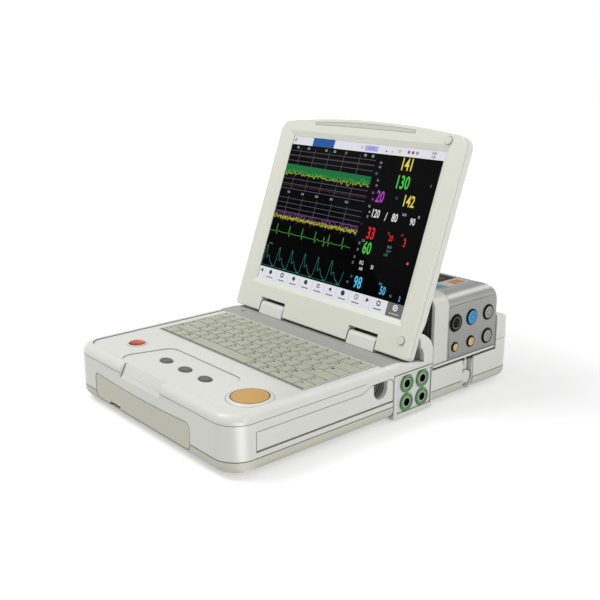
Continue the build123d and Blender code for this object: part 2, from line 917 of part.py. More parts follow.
def alarm_outline(margin):
    """The alarm light's outline, a strip that follows the crown of the lid."""
    lid_outline(alarm_inset - margin)
    with BuildLine() as path:
        Polyline(
            (-lid_width, lid_corner_rise - lid_width),
            (lid_width, lid_corner_rise - lid_width),
            (lid_width, lid_corner_rise - alarm_inset - alarm_width - margin),
        )
        ThreePointArc(
            (lid_width, lid_corner_rise - alarm_inset - alarm_width - margin),
            (0, lid_corner_rise + lid_crown - alarm_inset - alarm_width - margin),
            (-lid_width, lid_corner_rise - alarm_inset - alarm_width - margin),
        )
        Line(
            (-lid_width, lid_corner_rise - alarm_inset - alarm_width - margin),
            (-lid_width, lid_corner_rise - lid_width),
        )
    make_face(path.edges(), mode=Mode.SUBTRACT)
    span(
        alarm_left_x - margin,
        lid_corner_rise - lid_corner_radius,
        alarm_left_x + alarm_length + margin,
        lid_corner_rise + lid_crown,
        mode=Mode.INTERSECT,
    )


def hinge_room():
    """The material to cut from the lid for the hinges: two notches and the pins' bores."""
    with BuildPart() as room:
        with BuildSketch(lid_plane(hinge_to_front + overrun)):
            for x in (-hinge_spacing / 2, hinge_spacing / 2):
                span(x - notch_width / 2, -hinge_to_bottom - overrun, x + notch_width / 2, notch_rise)
        extrude(amount=-2 * lid_full_depth)
        for x in (-hinge_spacing / 2, hinge_spacing / 2):
            rod((x - pin_length / 2, hinge_y, hinge_z), (1, 0, 0), pin_radius + running_gap, pin_length)
    return room.part


with BuildPart() as lid_bezel:
    with BuildSketch(lid_plane(bezel_back)):
        lid_outline(0)
    extrude(amount=bezel_depth)
    fillet(lid_bezel.faces().sort_by(lid_axis)[-1].edges(), lid_edge_round)
    with BuildSketch(lid_plane(hinge_to_front)):
        with Locations((0, screen_middle)):
            Rectangle(screen_width + 2 * bevel_width, screen_height + 2 * bevel_width)
    with BuildSketch(lid_plane(hinge_to_front - bevel_depth)):
        with Locations((0, screen_middle)):
            Rectangle(screen_width, screen_height)
    loft(mode=Mode.SUBTRACT)
    with BuildSketch(lid_plane(bezel_back)):
        with Locations((0, screen_middle)):
            Rectangle(screen_width, screen_height)
    extrude(amount=bezel_depth, mode=Mode.SUBTRACT)
    with BuildSketch(lid_plane(bezel_back)):
        with Locations((0, screen_middle)):
            Rectangle(
                screen_width + 2 * (glass_overlap + fit_gap), screen_height + 2 * (glass_overlap + fit_gap)
            )
    extrude(amount=bezel_depth - bevel_depth - screen_ledge, mode=Mode.SUBTRACT)
    with BuildSketch(lid_plane(hinge_to_front - alarm_depth)):
        alarm_outline(fit_gap)
    extrude(amount=alarm_depth, mode=Mode.SUBTRACT)
    add(hinge_room(), mode=Mode.SUBTRACT)
hand_in(lid_bezel, "lid_bezel")

# Display lid, back half: a shell that thins toward the hinge, with rounded back edges
shell_top = bezel_back - fit_gap
foot_back = hinge_to_front - lid_foot_depth
full_back = hinge_to_front - lid_full_depth
with BuildPart() as lid_back:
    with BuildSketch(lid_plane(shell_top)):
        lid_outline(0)
    extrude(amount=full_back - shell_top)
    fillet(lid_back.faces().sort_by(lid_axis)[0].edges(), lid_back_round)
    lid_end = Plane(origin=(-lid_width, hinge_y, hinge_z), x_dir=lid_plane(0).y_dir, z_dir=(1, 0, 0))
    with BuildSketch(lid_end):
        with BuildLine():
            Polyline(
                (-hinge_to_bottom - overrun, foot_back),
                (lid_taper_start, foot_back),
                (lid_taper_start + lid_taper_run, full_back),
                (lid_taper_start + lid_taper_run, full_back - lid_full_depth),
                (-hinge_to_bottom - overrun, full_back - lid_full_depth),
                close=True,
            )
        make_face()
    extrude(amount=2 * lid_width, mode=Mode.SUBTRACT)
    with BuildSketch(lid_plane(shell_top)):
        lid_outline(lid_foot_radius)
        span(-lid_width, -lid_width, lid_width, lid_taper_start + lid_taper_run, mode=Mode.SUBTRACT)
    extrude(amount=full_back + lid_wall - shell_top, mode=Mode.SUBTRACT)
    with BuildSketch(lid_plane(shell_top)):
        span(
            -(screen_width / 2 + panel_border + fit_gap),
            hinge_to_display - panel_border - fit_gap,
            screen_width / 2 + panel_border + fit_gap,
            screen_middle,
        )
    extrude(amount=bezel_back - panel_thickness - fit_gap - shell_top, mode=Mode.SUBTRACT)
    add(hinge_room(), mode=Mode.SUBTRACT)
hand_in(lid_back, "lid_back")

# Display panel: the glass-fronted module behind the bezel's ledge, with its driver board on the back
driver_board_width = 150
driver_board_height = 60
driver_board_thickness = 2
glass_front = hinge_to_front - bevel_depth - screen_ledge
with BuildPart() as display_panel:
    with BuildSketch(lid_plane(glass_front)):
        with Locations((0, screen_middle)):
            Rectangle(screen_width + 2 * glass_overlap, screen_height + 2 * glass_overlap)
    extrude(amount=bezel_back - glass_front)
    with BuildSketch(lid_plane(bezel_back)):
        with Locations((0, screen_middle)):
            Rectangle(screen_width + 2 * panel_border, screen_height + 2 * panel_border)
    extrude(amount=-panel_thickness)
    with BuildSketch(lid_plane(bezel_back - panel_thickness)):
        with Locations((0, screen_middle)):
            Rectangle(driver_board_width, driver_board_height)
    extrude(amount=-driver_board_thickness)
hand_in(display_panel, "display_panel")

# Alarm light: a pale diffuser strip along the crown of the lid
with BuildPart() as alarm_light:
    with BuildSketch(lid_plane(hinge_to_front - alarm_depth)):
        alarm_outline(0)
    extrude(amount=alarm_depth)
hand_in(alarm_light, "alarm_light")

# Lid bumpers: two soft buttons that keep the closed lid off the rim
bumper_radius = 4.2
bumper_height = 2
bumper_round = 0.7
bumper_low = (134, 10)
bumper_high = (125, 226.5)
with BuildPart() as lid_bumpers:
    with BuildSketch(lid_plane(hinge_to_front)):
        with Locations(bumper_low, bumper_high):
            Circle(bumper_radius)
    extrude(amount=bumper_height)
    fillet(lid_bumpers.faces().sort_by(lid_axis)[-2:].edges(), bumper_round)
hand_in(lid_bumpers, "lid_bumpers")

# Keys: wide caps on square plungers, laid out in rows of a fifteen-unit grid, one node to a row
row_units = [
    [1.25, 1, 1.25, 6, 1.25, 1, 1.25, 1, 1],
    [2.25] + [1] * 10 + [1.75, 1],
    [1.75] + [1] * 11 + [2.25],
    [1.5] + [1] * 12 + [1.5],
    [1] * 13 + [2],
    [1] * 15,
]
row_keys = []
for row, units in enumerate(row_units):
    left = 0
    keys = []
    for width in units:
        keys.append((keyboard_left_x + (left + width / 2) * key_pitch_x, width * key_pitch_x - key_gap))
        left += width
    row_keys.append(keys)


def key_row_y(row):
    """The middle of a row of keys, counted from the user."""
    return keyboard_front_y + (row + 1 / 2) * key_pitch_y


def key_caps(keys, y):
    """Cap and plunger solids of some keys at one distance from the user, in the open part."""
    for x, width in keys:
        with Locations((x, y, cap_bottom)):
            Box(
                width, key_pitch_y - key_gap, key_cap_height, align=(Align.CENTER, Align.CENTER, Align.MIN)
            )
        with Locations((x, y, cap_bottom)):
            Box(
                plunger_size,
                plunger_size,
                plunger_length,
                align=(Align.CENTER, Align.CENTER, Align.MAX),
            )
    tops = faces().filter_by(Axis.Z).group_by(Axis.Z)[-1]
    chamfer(tops.edges(), key_chamfer)


for row, keys in enumerate(row_keys):
    with BuildPart() as key_row:
        key_caps(keys, key_row_y(row))
    hand_in(key_row, f"key_row_{row + 1}")

# Keyboard plate: the dark backing that the plungers slide in
with BuildPart() as keyboard_plate:
    with BuildSketch(level(plate_bottom)):
        with Locations(keyboard_centre):
            Rectangle(keyboard_width + 2 * keyboard_border, keyboard_depth + 2 * keyboard_border)
        for row, keys in enumerate(row_keys):
            with Locations(*[(x, key_row_y(row)) for x, width in keys]):
                Rectangle(plunger_size + 2 * fit_gap, plunger_size + 2 * fit_gap, mode=Mode.SUBTRACT)
    extrude(amount=plate_thickness)
hand_in(keyboard_plate, "keyboard_plate")

# Indicator lights: three small lenses in the left rim
led_length = 6
led_inset = 1.3
led_top = rim_top - led_inset
with BuildPart() as indicator_lights:
    for index in range(led_count):
        rod((led_x, led_first_y + index * led_pitch, led_top), (0, 0, -1), led_radius, led_length)
hand_in(indicator_lights, "indicator_lights")

# Power key: a domed orange-red button inside the cover's raised ring
board_top = deck_underside - 7
board_thickness = 1.6
switch_size = 6
switch_height = 3
stem_bottom = board_top + switch_height + button_travel
with BuildPart() as power_button:
    rod((power_x, power_y, deck_underside), (0, 0, 1), power_radius, wall + power_dome)
    fillet(power_button.faces().sort_by(Axis.Z)[-1].edges(), power_dome)
    rod((power_x, power_y, stem_bottom), (0, 0, 1), stem_radius, deck_underside - stem_bottom)
hand_in(power_button, "power_button")

# Oval keys: three dark buttons in a row on the control pad
oval_rise = 1.2
oval_round = 1
for index, name in enumerate(["left_button", "middle_button", "right_button"]):
    x = oval_first_x + index * oval_pitch
    with BuildPart() as oval_button:
        with BuildSketch(level(deck_underside)):
            with Locations((x, oval_y)):
                Ellipse(oval_length / 2, oval_width / 2)
        extrude(amount=wall + oval_rise - pad_depth)
        fillet(oval_button.faces().sort_by(Axis.Z)[-1].edges(), oval_round)
        rod((x, oval_y, stem_bottom), (0, 0, 1), stem_radius, deck_underside - stem_bottom)
    hand_in(oval_button, name)

# Button board: the circuit board under the front keys, with a switch below each stem and posts to the cover
board_to_side = 34
board_right_x = 60
board_to_front = 29
board_depth = 34
board_left_x = board_to_side - half_width
board_front_y = front_y + board_to_front
board_rear_y = board_front_y + board_depth
post_radius = 2.5
post_inset = 6
with BuildPart() as button_board:
    block(
        (board_left_x, board_front_y, board_top - board_thickness),
        (board_right_x, board_rear_y, board_top),
    )
    oval_points = [(oval_first_x + index * oval_pitch, oval_y) for index in range(oval_count)]
    for x, y in [(power_x, power_y)] + oval_points:
        block(
            (x - switch_size / 2, y - switch_size / 2, board_top),
            (x + switch_size / 2, y + switch_size / 2, board_top + switch_height),
        )
    board_middle_x = (board_left_x + board_right_x) / 2
    for x in (board_left_x + post_inset, board_middle_x - post_inset, board_right_x - post_inset):
        rod((x, board_rear_y - post_inset, board_top), (0, 0, 1), post_radius, deck_underside - board_top)
hand_in(button_board, "button_board")

# Jog knob: a flat orange disc that turns and presses, in a bevelled white ring with an encoder beneath
cup_wall = 2
cup_floor_z = deck_top - 5.4
cup_floor = 2
sleeve_radius = 5
shaft_radius = 3
sleeve_length = 12
housing_size = 22
housing_height = 10.5
sleeve_head_gap = 0.7
knob_top = deck_top + knob_rise
knob_bottom = knob_top - knob_thickness
with BuildPart() as knob_ring:
    with BuildSketch(Plane.XZ.offset(-knob_y)):
        with BuildLine():
            Polyline(
                (knob_x + sleeve_radius + fit_gap, cup_floor_z - cup_floor),
                (knob_x + knob_ring_inner_radius + cup_wall, cup_floor_z - cup_floor),
                (knob_x + knob_ring_inner_radius + cup_wall, deck_underside),
                (knob_x + knob_ring_radius, deck_underside),
                (knob_x + knob_ring_radius, deck_top),
                (knob_x + knob_ring_inner_radius + cup_wall / 2, deck_top + knob_ring_rise),
                (knob_x + knob_ring_inner_radius, deck_top + knob_ring_rise),
                (knob_x + knob_ring_inner_radius, cup_floor_z),
                (knob_x + sleeve_radius + fit_gap, cup_floor_z),
                close=True,
            )
        make_face()
    revolve(axis=Axis((knob_x, knob_y, 0), (0, 0, 1)))
    with Locations((knob_x, knob_y, cup_floor_z - cup_floor)):
        Box(housing_size, housing_size, housing_height, align=(Align.CENTER, Align.CENTER, Align.MAX))
    rod(
        (knob_x, knob_y, cup_floor_z), (0, 0, -1), sleeve_radius + running_gap, 2 * housing_height, Mode.SUBTRACT
    )
hand_in(knob_ring, "knob_ring")

with BuildPart() as jog_knob:
    with Locations((knob_x, knob_y, knob_top)):
        Cylinder(knob_radius, knob_thickness, align=(Align.CENTER, Align.CENTER, Align.MAX))
    fillet(jog_knob.faces().sort_by(Axis.Z)[-1].edges(), key_chamfer)
    rod((knob_x, knob_y, knob_bottom), (0, 0, -1), shaft_radius, sleeve_length)
hand_in(jog_knob, "jog_knob")

with BuildPart() as knob_sleeve:
    rod((knob_x, knob_y, knob_bottom - sleeve_head_gap / 2), (0, 0, -1), sleeve_radius, sleeve_length)
    rod((knob_x, knob_y, knob_bottom + overrun), (0, 0, -1), shaft_radius + running_gap,
        2 * sleeve_length, Mode.SUBTRACT)
hand_in(knob_sleeve, "knob_sleeve")

# Drawer front: the long low door of the recorder, with a finger notch at its rear end
roller_to_side = 14
roller_x = half_width - roller_to_side
roller_z = 32.5
roller_radius = 5.5
roller_shaft_radius = 2
roller_to_front = 14.5
roller_to_rear = 33.5
roller_front_y = drawer_front_y + roller_to_front
roller_rear_y = drawer_rear_y - roller_to_rear
tray_wall = 2
tray_reach = 134
tray_floor_to_side = 26
tray_inset = 4.8
tray_left_x = half_width - tray_reach
tray_bottom = 23.8
tray_top = 37.5
tray_floor_right_x = half_width - tray_floor_to_side
tray_front_y = drawer_front_y + tray_inset
tray_rear_y = drawer_rear_y - tray_inset
tray_low_top = 29.4
roller_wall_to_side = 19
roller_wall_x = half_width - roller_wall_to_side
notch_y = drawer_rear_y - notch_from_end
drawer_high_top = drawer_bottom + drawer_low_height + drawer_step_rise
notch_z = drawer_high_top - notch_depth_below_top
drawer_inner_x = half_width - drawer_thickness
finger_wall = 1.5
with BuildPart() as drawer_front:
    with BuildSketch(side(drawer_inner_x)):
        drawer_outline(0)
        with Locations((notch_y, notch_z)):
            Circle(notch_radius, mode=Mode.SUBTRACT)
        span(notch_y - notch_radius, notch_z, notch_y + notch_radius, drawer_high_top, mode=Mode.SUBTRACT)
    extrude(amount=drawer_thickness)
hand_in(drawer_front, "drawer_front")

# Finger recess: a dark ribbed cup behind the notch
rib_count = 5
rib_width = 1
rib_depth = 1.5
rib_pitch = 3.4
with BuildPart() as finger_recess:
    block(
        (
            drawer_inner_x - notch_depth,
            notch_y - notch_radius - finger_wall,
            notch_z - notch_radius - finger_wall,
        ),
        (drawer_inner_x, notch_y + notch_radius + finger_wall, drawer_high_top),
    )
    with BuildSketch(side(drawer_inner_x)):
        with Locations((notch_y, notch_z)):
            Circle(notch_radius)
        span(notch_y - notch_radius, notch_z, notch_y + notch_radius, drawer_high_top)
    extrude(amount=finger_wall - notch_depth, mode=Mode.SUBTRACT)
    for index in range(rib_count):
        y = notch_y + (index - (rib_count - 1) / 2) * rib_pitch
        block(
            (drawer_inner_x - notch_depth + finger_wall, y - rib_width / 2, notch_z - notch_radius / 2),
            (drawer_inner_x - notch_depth + finger_wall + rib_depth, y + rib_width / 2, drawer_high_top),
        )
hand_in(finger_recess, "finger_recess")

# Paper tray: the drawer's floor and cheeks, with bearings for the roller
with BuildPart() as paper_tray:
    block(
        (tray_left_x, tray_front_y, tray_bottom), (tray_floor_right_x, tray_rear_y, tray_bottom + tray_wall)
    )
    block(
        (tray_left_x, roller_front_y, tray_bottom), (tray_left_x + tray_wall, tray_rear_y, tray_top)
    )
    block(
        (tray_left_x, tray_front_y, tray_bottom), (drawer_inner_x, tray_front_y + tray_wall, tray_low_top)
    )
    block(
        (roller_wall_x, tray_front_y, tray_bottom), (drawer_inner_x, tray_front_y + tray_wall, tray_top)
    )
    for y in (roller_front_y - tray_wall, roller_rear_y):
        block(
            (tray_left_x, y + moving_gap / 2, tray_bottom),
            (drawer_inner_x, y + tray_wall - moving_gap / 2, tray_top),
        )
    block((tray_left_x, tray_rear_y - tray_wall, tray_bottom), (drawer_inner_x, tray_rear_y, tray_low_top))
    rod(
        (roller_x, front_y, roller_z), (0, 1, 0), roller_shaft_radius + running_gap, base_depth, Mode.SUBTRACT
    )
hand_in(paper_tray, "paper_tray")

# Paper pack: a fan-folded stack of recorder paper
pack_gap = 1.5
pack_top = 36.5
pack_to_side = 28
pack_right_x = half_width - pack_to_side
with BuildPart() as paper_pack:
    block(
        (tray_left_x + tray_wall + pack_gap, roller_front_y + pack_gap, tray_bottom + tray_wall),
        (pack_right_x, roller_rear_y - pack_gap, pack_top),
    )
hand_in(paper_pack, "paper_pack")


def gear_teeth(teeth, module, bore, turn=0):
    """Outline of a spur gear with straight-flanked teeth, slim enough to run freely, round a centre."""
    pitch_radius = module * teeth / 2
    root = pitch_radius - root_share * module
    tip = pitch_radius + tip_share * module
    step = 2 * pi / teeth
    points = []
    for index in range(teeth):
        middle = index * step + turn * step
        for radius, half in ((root, root_width_share), (tip, tip_width_share)):
            points.append((radius, middle - half * step))
        for radius, half in ((tip, tip_width_share), (root, root_width_share)):
            points.append((radius, middle + half * step))
    with BuildLine() as path:
        Polyline(*[(r * cos(a), r * sin(a)) for r, a in points], close=True)
    make_face(path.edges())
    if bore:
        Circle(bore, mode=Mode.SUBTRACT)


# Platen roller: a rubber-covered roller across the drawer with its drive gear on the front end
gear_module = 1
roller_teeth = 14
pinion_teeth = 8
root_share = 1.25
tip_share = 0.8
root_width_share = 0.27
tip_width_share = 0.1
gear_width = 5
gear_inset = 7.5
gear_y = drawer_front_y + gear_inset
shaft_end_gap = 0.7
with BuildPart() as platen_roller:
    rod((roller_x, roller_front_y + moving_gap, roller_z), (0, 1, 0), roller_radius,
        roller_rear_y - roller_front_y - 2 * moving_gap)
    rod((roller_x, tray_front_y + shaft_end_gap, roller_z), (0, 1, 0), roller_shaft_radius,
        roller_rear_y + tray_wall - tray_front_y - 2 * shaft_end_gap)
    with BuildSketch(Plane(origin=(roller_x, gear_y, roller_z), x_dir=(1, 0, 0), z_dir=(0, -1, 0))):
        gear_teeth(roller_teeth, gear_module, 0)
    extrude(amount=-gear_width)
hand_in(platen_roller, "platen_roller")

# Motor pinion: the small gear and shaft that the recorder's motor turns
gear_distance = gear_module * (roller_teeth + pinion_teeth) / 2
pinion_x = roller_x - gear_distance
pinion_shaft_radius = 1.25
chassis_inset = 2.5
chassis_front_y = drawer_front_y + chassis_inset
chassis_wall = 2
motor_radius = 12
motor_length = 16
with BuildPart() as motor_pinion:
    with BuildSketch(Plane(origin=(pinion_x, gear_y, roller_z), x_dir=(1, 0, 0), z_dir=(0, -1, 0))):
        gear_teeth(pinion_teeth, gear_module, 0, 1 / 2)
    extrude(amount=-gear_width)
    rod((pinion_x, chassis_front_y - motor_length / 2, roller_z), (0, 1, 0), pinion_shaft_radius,
        gear_y + gear_width - chassis_front_y + motor_length / 2)
hand_in(motor_pinion, "motor_pinion")

# Recorder chassis: a folded sheet frame on four legs that the drawer runs in, with the motor in front
chassis_reach = 144
chassis_to_side = 6
chassis_left_x = half_width - chassis_reach
chassis_right_x = half_width - chassis_to_side
chassis_floor_z = 21.5
chassis_top = 44.6
chassis_rear_y = drawer_rear_y - chassis_inset
bridge_to_side = 18
bridge_width = 24
bridge_right_x = half_width - bridge_to_side
bridge_left_x = bridge_right_x - bridge_width
leg_radius = 4
leg_inset = 10
with BuildPart() as recorder_chassis:
    block(
        (chassis_left_x, chassis_front_y, chassis_floor_z),
        (chassis_right_x, chassis_rear_y, chassis_floor_z + chassis_wall),
    )
    for y in (chassis_front_y, chassis_rear_y - chassis_wall):
        block((chassis_left_x, y, chassis_floor_z), (chassis_right_x, y + chassis_wall, chassis_top))
    block(
        (bridge_left_x, chassis_front_y, chassis_top - chassis_wall),
        (bridge_right_x, chassis_rear_y, chassis_top),
    )
    for x in (chassis_left_x + leg_inset, chassis_right_x - leg_inset):
        for y in (chassis_front_y + leg_inset, chassis_rear_y - leg_inset):
            rod((x, y, floor_top), (0, 0, 1), leg_radius, chassis_floor_z - floor_top)
    rod((pinion_x, chassis_front_y, roller_z), (0, -1, 0), motor_radius, motor_length)
    rod((pinion_x, chassis_front_y + overrun, roller_z), (0, -1, 0), pinion_shaft_radius + running_gap,
        motor_length / 2 + overrun + moving_gap, Mode.SUBTRACT)
hand_in(recorder_chassis, "recorder_chassis")

# Print head: a thermal bar under the bridge, just above the roller
head_gap = 0.1
head_to_roller = 2
head_width = 9
head_right_x = roller_x - head_to_roller
head_left_x = head_right_x - head_width
head_inset = 3
with BuildPart() as print_head:
    block(
        (head_left_x, roller_front_y + head_inset, roller_z + roller_radius + head_gap),
        (head_right_x, roller_rear_y - head_inset, chassis_top - chassis_wall),
    )
hand_in(print_head, "print_head")

# Front handle: a bowed greenish-grey bar on two flat arms that pulls out of the front
with BuildPart() as front_handle:
    with BuildSketch(front(front_y)):
        handle_outline(0)
    extrude(amount=-handle_thickness)
    chamfer(front_handle.faces().sort_by(Axis.Y)[0].edges(), seam_depth)
    block(
        (slit_left_x, front_y - overrun, handle_bottom - overrun),
        (slit_left_x + slit_length, handle_rear_y - guide_wall, handle_bottom + slit_height),
        Mode.SUBTRACT,
    )
    for x in arm_xs:
        block(
            (x - arm_width / 2, handle_rear_y, arm_bottom),
            (x + arm_width / 2, handle_rear_y + arm_length, arm_bottom + arm_thickness),
        )
hand_in(front_handle, "front_handle")

# Connector block: a white frame on the right side with a grey face for the four probe sockets
block_outer_x = half_width + block_proud
block_inner_x = block_outer_x - block_depth
panel_thickness_x = 4
panel_recess = 1
panel_bottom = 8.5
ring_centres = [
    (ring_front_y + column * ring_pitch_y, ring_low_z + row * ring_pitch_z)
    for row in (0, 1)
    for column in (0, 1)
]
with BuildPart() as connector_block:
    block((block_inner_x, block_front_y, block_bottom), (block_outer_x, block_rear_y, block_top))
    fillet(connector_block.edges().filter_by(Axis.Z).group_by(Axis.X)[-1], block_proud)
    block(
        (
            block_outer_x - panel_recess - panel_thickness_x,
            block_front_y + 2 * block_border,
            panel_bottom - fit_gap,
        ),
        (block_outer_x + overrun, block_rear_y - block_border, block_top - block_border),
        Mode.SUBTRACT,
    )
    for y, z in ring_centres:
        rod(
            (block_inner_x - overrun, y, z), (1, 0, 0), ring_inner_radius + fit_gap, block_depth, Mode.SUBTRACT
        )
hand_in(connector_block, "connector_block")

with BuildPart() as connector_panel:
    with BuildSketch(side(block_outer_x - panel_recess - panel_thickness_x)):
        span(
            block_front_y + 2 * block_border + fit_gap,
            panel_bottom,
            block_rear_y - block_border - fit_gap,
            block_top - block_border - fit_gap,
        )
        with Locations(*ring_centres):
            Circle(ring_inner_radius + fit_gap, mode=Mode.SUBTRACT)
    extrude(amount=panel_thickness_x)
hand_in(connector_panel, "connector_panel")

# Probe rings: four green collars on the face of the connector panel
with BuildPart() as probe_rings:
    with BuildSketch(side(block_outer_x - panel_recess)):
        with Locations(*ring_centres):
            Circle(ring_outer_radius)
            Circle(ring_inner_radius + fit_gap, mode=Mode.SUBTRACT)
    extrude(amount=ring_height)
    chamfer(probe_rings.faces().sort_by(Axis.X)[-4:].edges(), seam_depth)
hand_in(probe_rings, "probe_rings")

# Probe sockets: dark round sockets through the panel
socket_length = 15
with BuildPart() as probe_sockets:
    for y, z in ring_centres:
        rod((block_outer_x, y, z), (-1, 0, 0), ring_inner_radius, socket_length)
        rod(
            (block_outer_x + overrun, y, z),
            (-1, 0, 0),
            probe_bore_radius,
            probe_bore_depth + overrun,
            Mode.SUBTRACT,
        )
hand_in(probe_sockets, "probe_sockets")

# Release tab: slides down in the cup, with a bolt that stands under the module
tab_depth = 3.4
tab_face_depth = 5
stem_depth = 2
bolt_length = 6
tab_low_z = 12
tab_face_height = 13
tab_stem_width = 8
bolt_gap = 0.4
tab_rear_x = latch_x - latch_cup_depth + latch_cup_wall + fit_gap
bolt_x = tab_rear_x + tab_depth / 2
with BuildPart() as release_tab:
    with BuildSketch(side(tab_rear_x)):
        latch_outline(
            fit_gap + latch_cup_wall + moving_gap, tab_low_z - latch_cup_wall, tab_low_z + tab_face_height
        )
    extrude(amount=tab_face_depth)
    chamfer(release_tab.faces().sort_by(Axis.X)[-1].edges(), seam_depth)
    with BuildSketch(side(tab_rear_x)):
        span(
            latch_y - tab_stem_width / 2,
            tab_low_z + tab_face_height,
            latch_y + tab_stem_width / 2,
            bay_floor - bay_wall - moving_gap,
        )
    extrude(amount=stem_depth)
    rod((bolt_x, latch_y, bay_floor - bay_wall - bolt_length), (0, 0, 1), tab_depth / 2,
        module_bottom - bolt_gap - bay_floor + bay_wall + bolt_length)
hand_in(release_tab, "release_tab")

# Bay tray: the dark floor and low walls of the module bay, with two runners and an edge socket
tray_right_gap = 0.3
tray_front_wall_top = deck_underside - fit_gap
tray_side_wall_top = frame_top - fit_gap
runner_height = 3.2
runner_width = 4
runner_inset = 16
bay_right_x = half_width - wall - tray_right_gap
plug_depth = 7
plug_width = 26
plug_height = 2
plug_z = 46.4
socket_body = 9
socket_wall = 2
plug_y = module_front_y + module_depth / 2
with BuildPart() as bay_tray:
    block(
        (bay_left_x - bay_wall, bay_front_y - bay_wall, bay_floor - bay_wall),
        (bay_right_x, bay_rear_y + bay_wall, bay_floor),
    )
    block(
        (bay_left_x - bay_wall, bay_front_y - bay_wall, bay_floor - bay_wall),
        (bay_right_x, bay_front_y, tray_front_wall_top),
    )
    block(
        (bay_left_x - bay_wall, bay_rear_y, bay_floor - bay_wall),
        (bay_right_x, bay_rear_y + bay_wall, tray_side_wall_top),
    )
    block(
        (bay_left_x - bay_wall, bay_front_y - bay_wall, bay_floor - bay_wall),
        (bay_left_x, bay_rear_y + bay_wall, tray_side_wall_top),
    )
    for y in (module_front_y + runner_inset, module_front_y + module_depth - runner_inset):
        block(
            (bay_left_x + runner_width, y - runner_width / 2, bay_floor),
            (bay_right_x - runner_inset, y + runner_width / 2, bay_floor + runner_height),
        )
    block(
        (
            bolt_x - tab_depth / 2 - fit_gap,
            latch_y - tab_depth / 2 - fit_gap,
            bay_floor - bay_wall - overrun,
        ),
        (half_width, latch_y + tab_depth / 2 + fit_gap, bay_floor + overrun),
        Mode.SUBTRACT,
    )
    block(
        (bay_left_x - socket_body, plug_y - plug_width / 2 - socket_wall, plug_z - socket_wall),
        (bay_left_x, plug_y + plug_width / 2 + socket_wall, plug_z + plug_height + socket_wall),
    )
    block(
        (bay_left_x - plug_depth, plug_y - plug_width / 2 - fit_gap, plug_z - fit_gap),
        (bay_left_x + overrun, plug_y + plug_width / 2 + fit_gap, plug_z + plug_height + fit_gap),
        Mode.SUBTRACT,
    )
    block(
        (
            half_width + block_proud - block_depth - fit_gap,
            bay_front_y - bay_wall - overrun,
            bay_floor - overrun,
        ),
        (half_width, block_rear_y + fit_gap, block_top + fit_gap),
        Mode.SUBTRACT,
    )
hand_in(bay_tray, "bay_tray")

# Module: a silver-grey plug-in box with a rounded right shoulder and a rounded back
module_right_x = half_width
module_left_x = module_right_x - module_length
module_rear_y = module_front_y + module_depth
module_top = module_bottom + module_height
module_base_height = 3
base_lip = 1
body_bottom = module_bottom + module_base_height
trim_rear_y = module_front_y + module_trim_width
louvre_margin = 4
louvre_top_margin = 8
louvre_bottom_margin = 10
louvre_depth = 4


def module_form():
    """The body of the module: its end profile along Y met by its side profile along X."""
    with BuildPart() as form:
        with BuildSketch(front(module_front_y)) as end_profile:
            span(module_left_x, body_bottom, module_right_x, module_top)
            fillet(end_profile.vertices().group_by(Axis.Y)[-1].sort_by(Axis.X)[-1], module_right_round)
        extrude(amount=-module_depth)
        with BuildSketch(side(module_left_x)) as side_profile:
            span(module_front_y, body_bottom, module_rear_y, module_top)
            fillet(side_profile.vertices().group_by(Axis.Y)[-1].sort_by(Axis.X)[-1], module_rear_round)
            fillet(side_profile.vertices().group_by(Axis.Y)[-1].sort_by(Axis.X)[0], module_edge_round)
        extrude(amount=module_length, mode=Mode.INTERSECT)
    return form.part


face_front_margin = 26
face_rear_margin = 4.5
face_front_y = module_front_y + face_front_margin
face_rear_y = module_rear_y - face_rear_margin
face_bottom = 51.5
face_top = 110
face_depth = 1
face_proud = 0.6
face_round = 3


def face_outline(margin):
    """Side outline of the module's connector face, a rounded rectangle."""
    span(face_front_y - margin, face_bottom - margin, face_rear_y + margin, face_top + margin)
    fillet(vertices(), face_round + margin)


# Sockets on the module's face: three columns along its length, then heights and radii
column_shares = [0.12, 0.47, 0.85]
front_column, middle_column, rear_column = [
    face_front_y + share * (face_rear_y - face_front_y) for share in column_shares
]
black_socket = (front_column, 90.4, 9.75)
blue_socket = (middle_column, 91.8, 9)
grey_sockets = [(rear_column, 91.7, 9), (rear_column, 63.5, 9)]
yellow_sockets = [(front_column, 62.6, 5.5), (middle_column, 63.3, 6.5)]
all_sockets = [black_socket, blue_socket] + grey_sockets + yellow_sockets
socket_rise = 2
socket_depth = 9
socket_bore_share = 0.62
socket_core_share = 0.38
socket_bore_depth = 7
with BuildPart() as module_housing:
    add(module_form())
    block(
        (module_left_x - overrun, module_front_y - overrun, body_bottom - overrun),
        (module_right_x + overrun, trim_rear_y + seam_depth / 2, module_top + overrun),
        Mode.SUBTRACT,
    )
    with BuildSketch(side(module_right_x - face_depth)):
        face_outline(fit_gap)
    extrude(amount=face_depth + overrun, mode=Mode.SUBTRACT)
    for y, z, radius in all_sockets:
        rod(
            (module_right_x - socket_depth, y, z), (1, 0, 0), radius + running_gap, socket_depth, Mode.SUBTRACT
        )
hand_in(module_housing, "module_housing")

with BuildPart() as module_trim:
    add(module_form())
    block(
        (module_left_x - overrun, trim_rear_y, body_bottom - overrun),
        (module_right_x + overrun, module_rear_y + overrun, module_top + overrun),
        Mode.SUBTRACT,
    )
    block(
        (module_left_x + louvre_margin, module_front_y - overrun, body_bottom + louvre_bottom_margin),
        (module_right_x - louvre_margin, module_front_y + louvre_depth, module_top - louvre_top_margin),
        Mode.SUBTRACT,
    )
hand_in(module_trim, "module_trim")

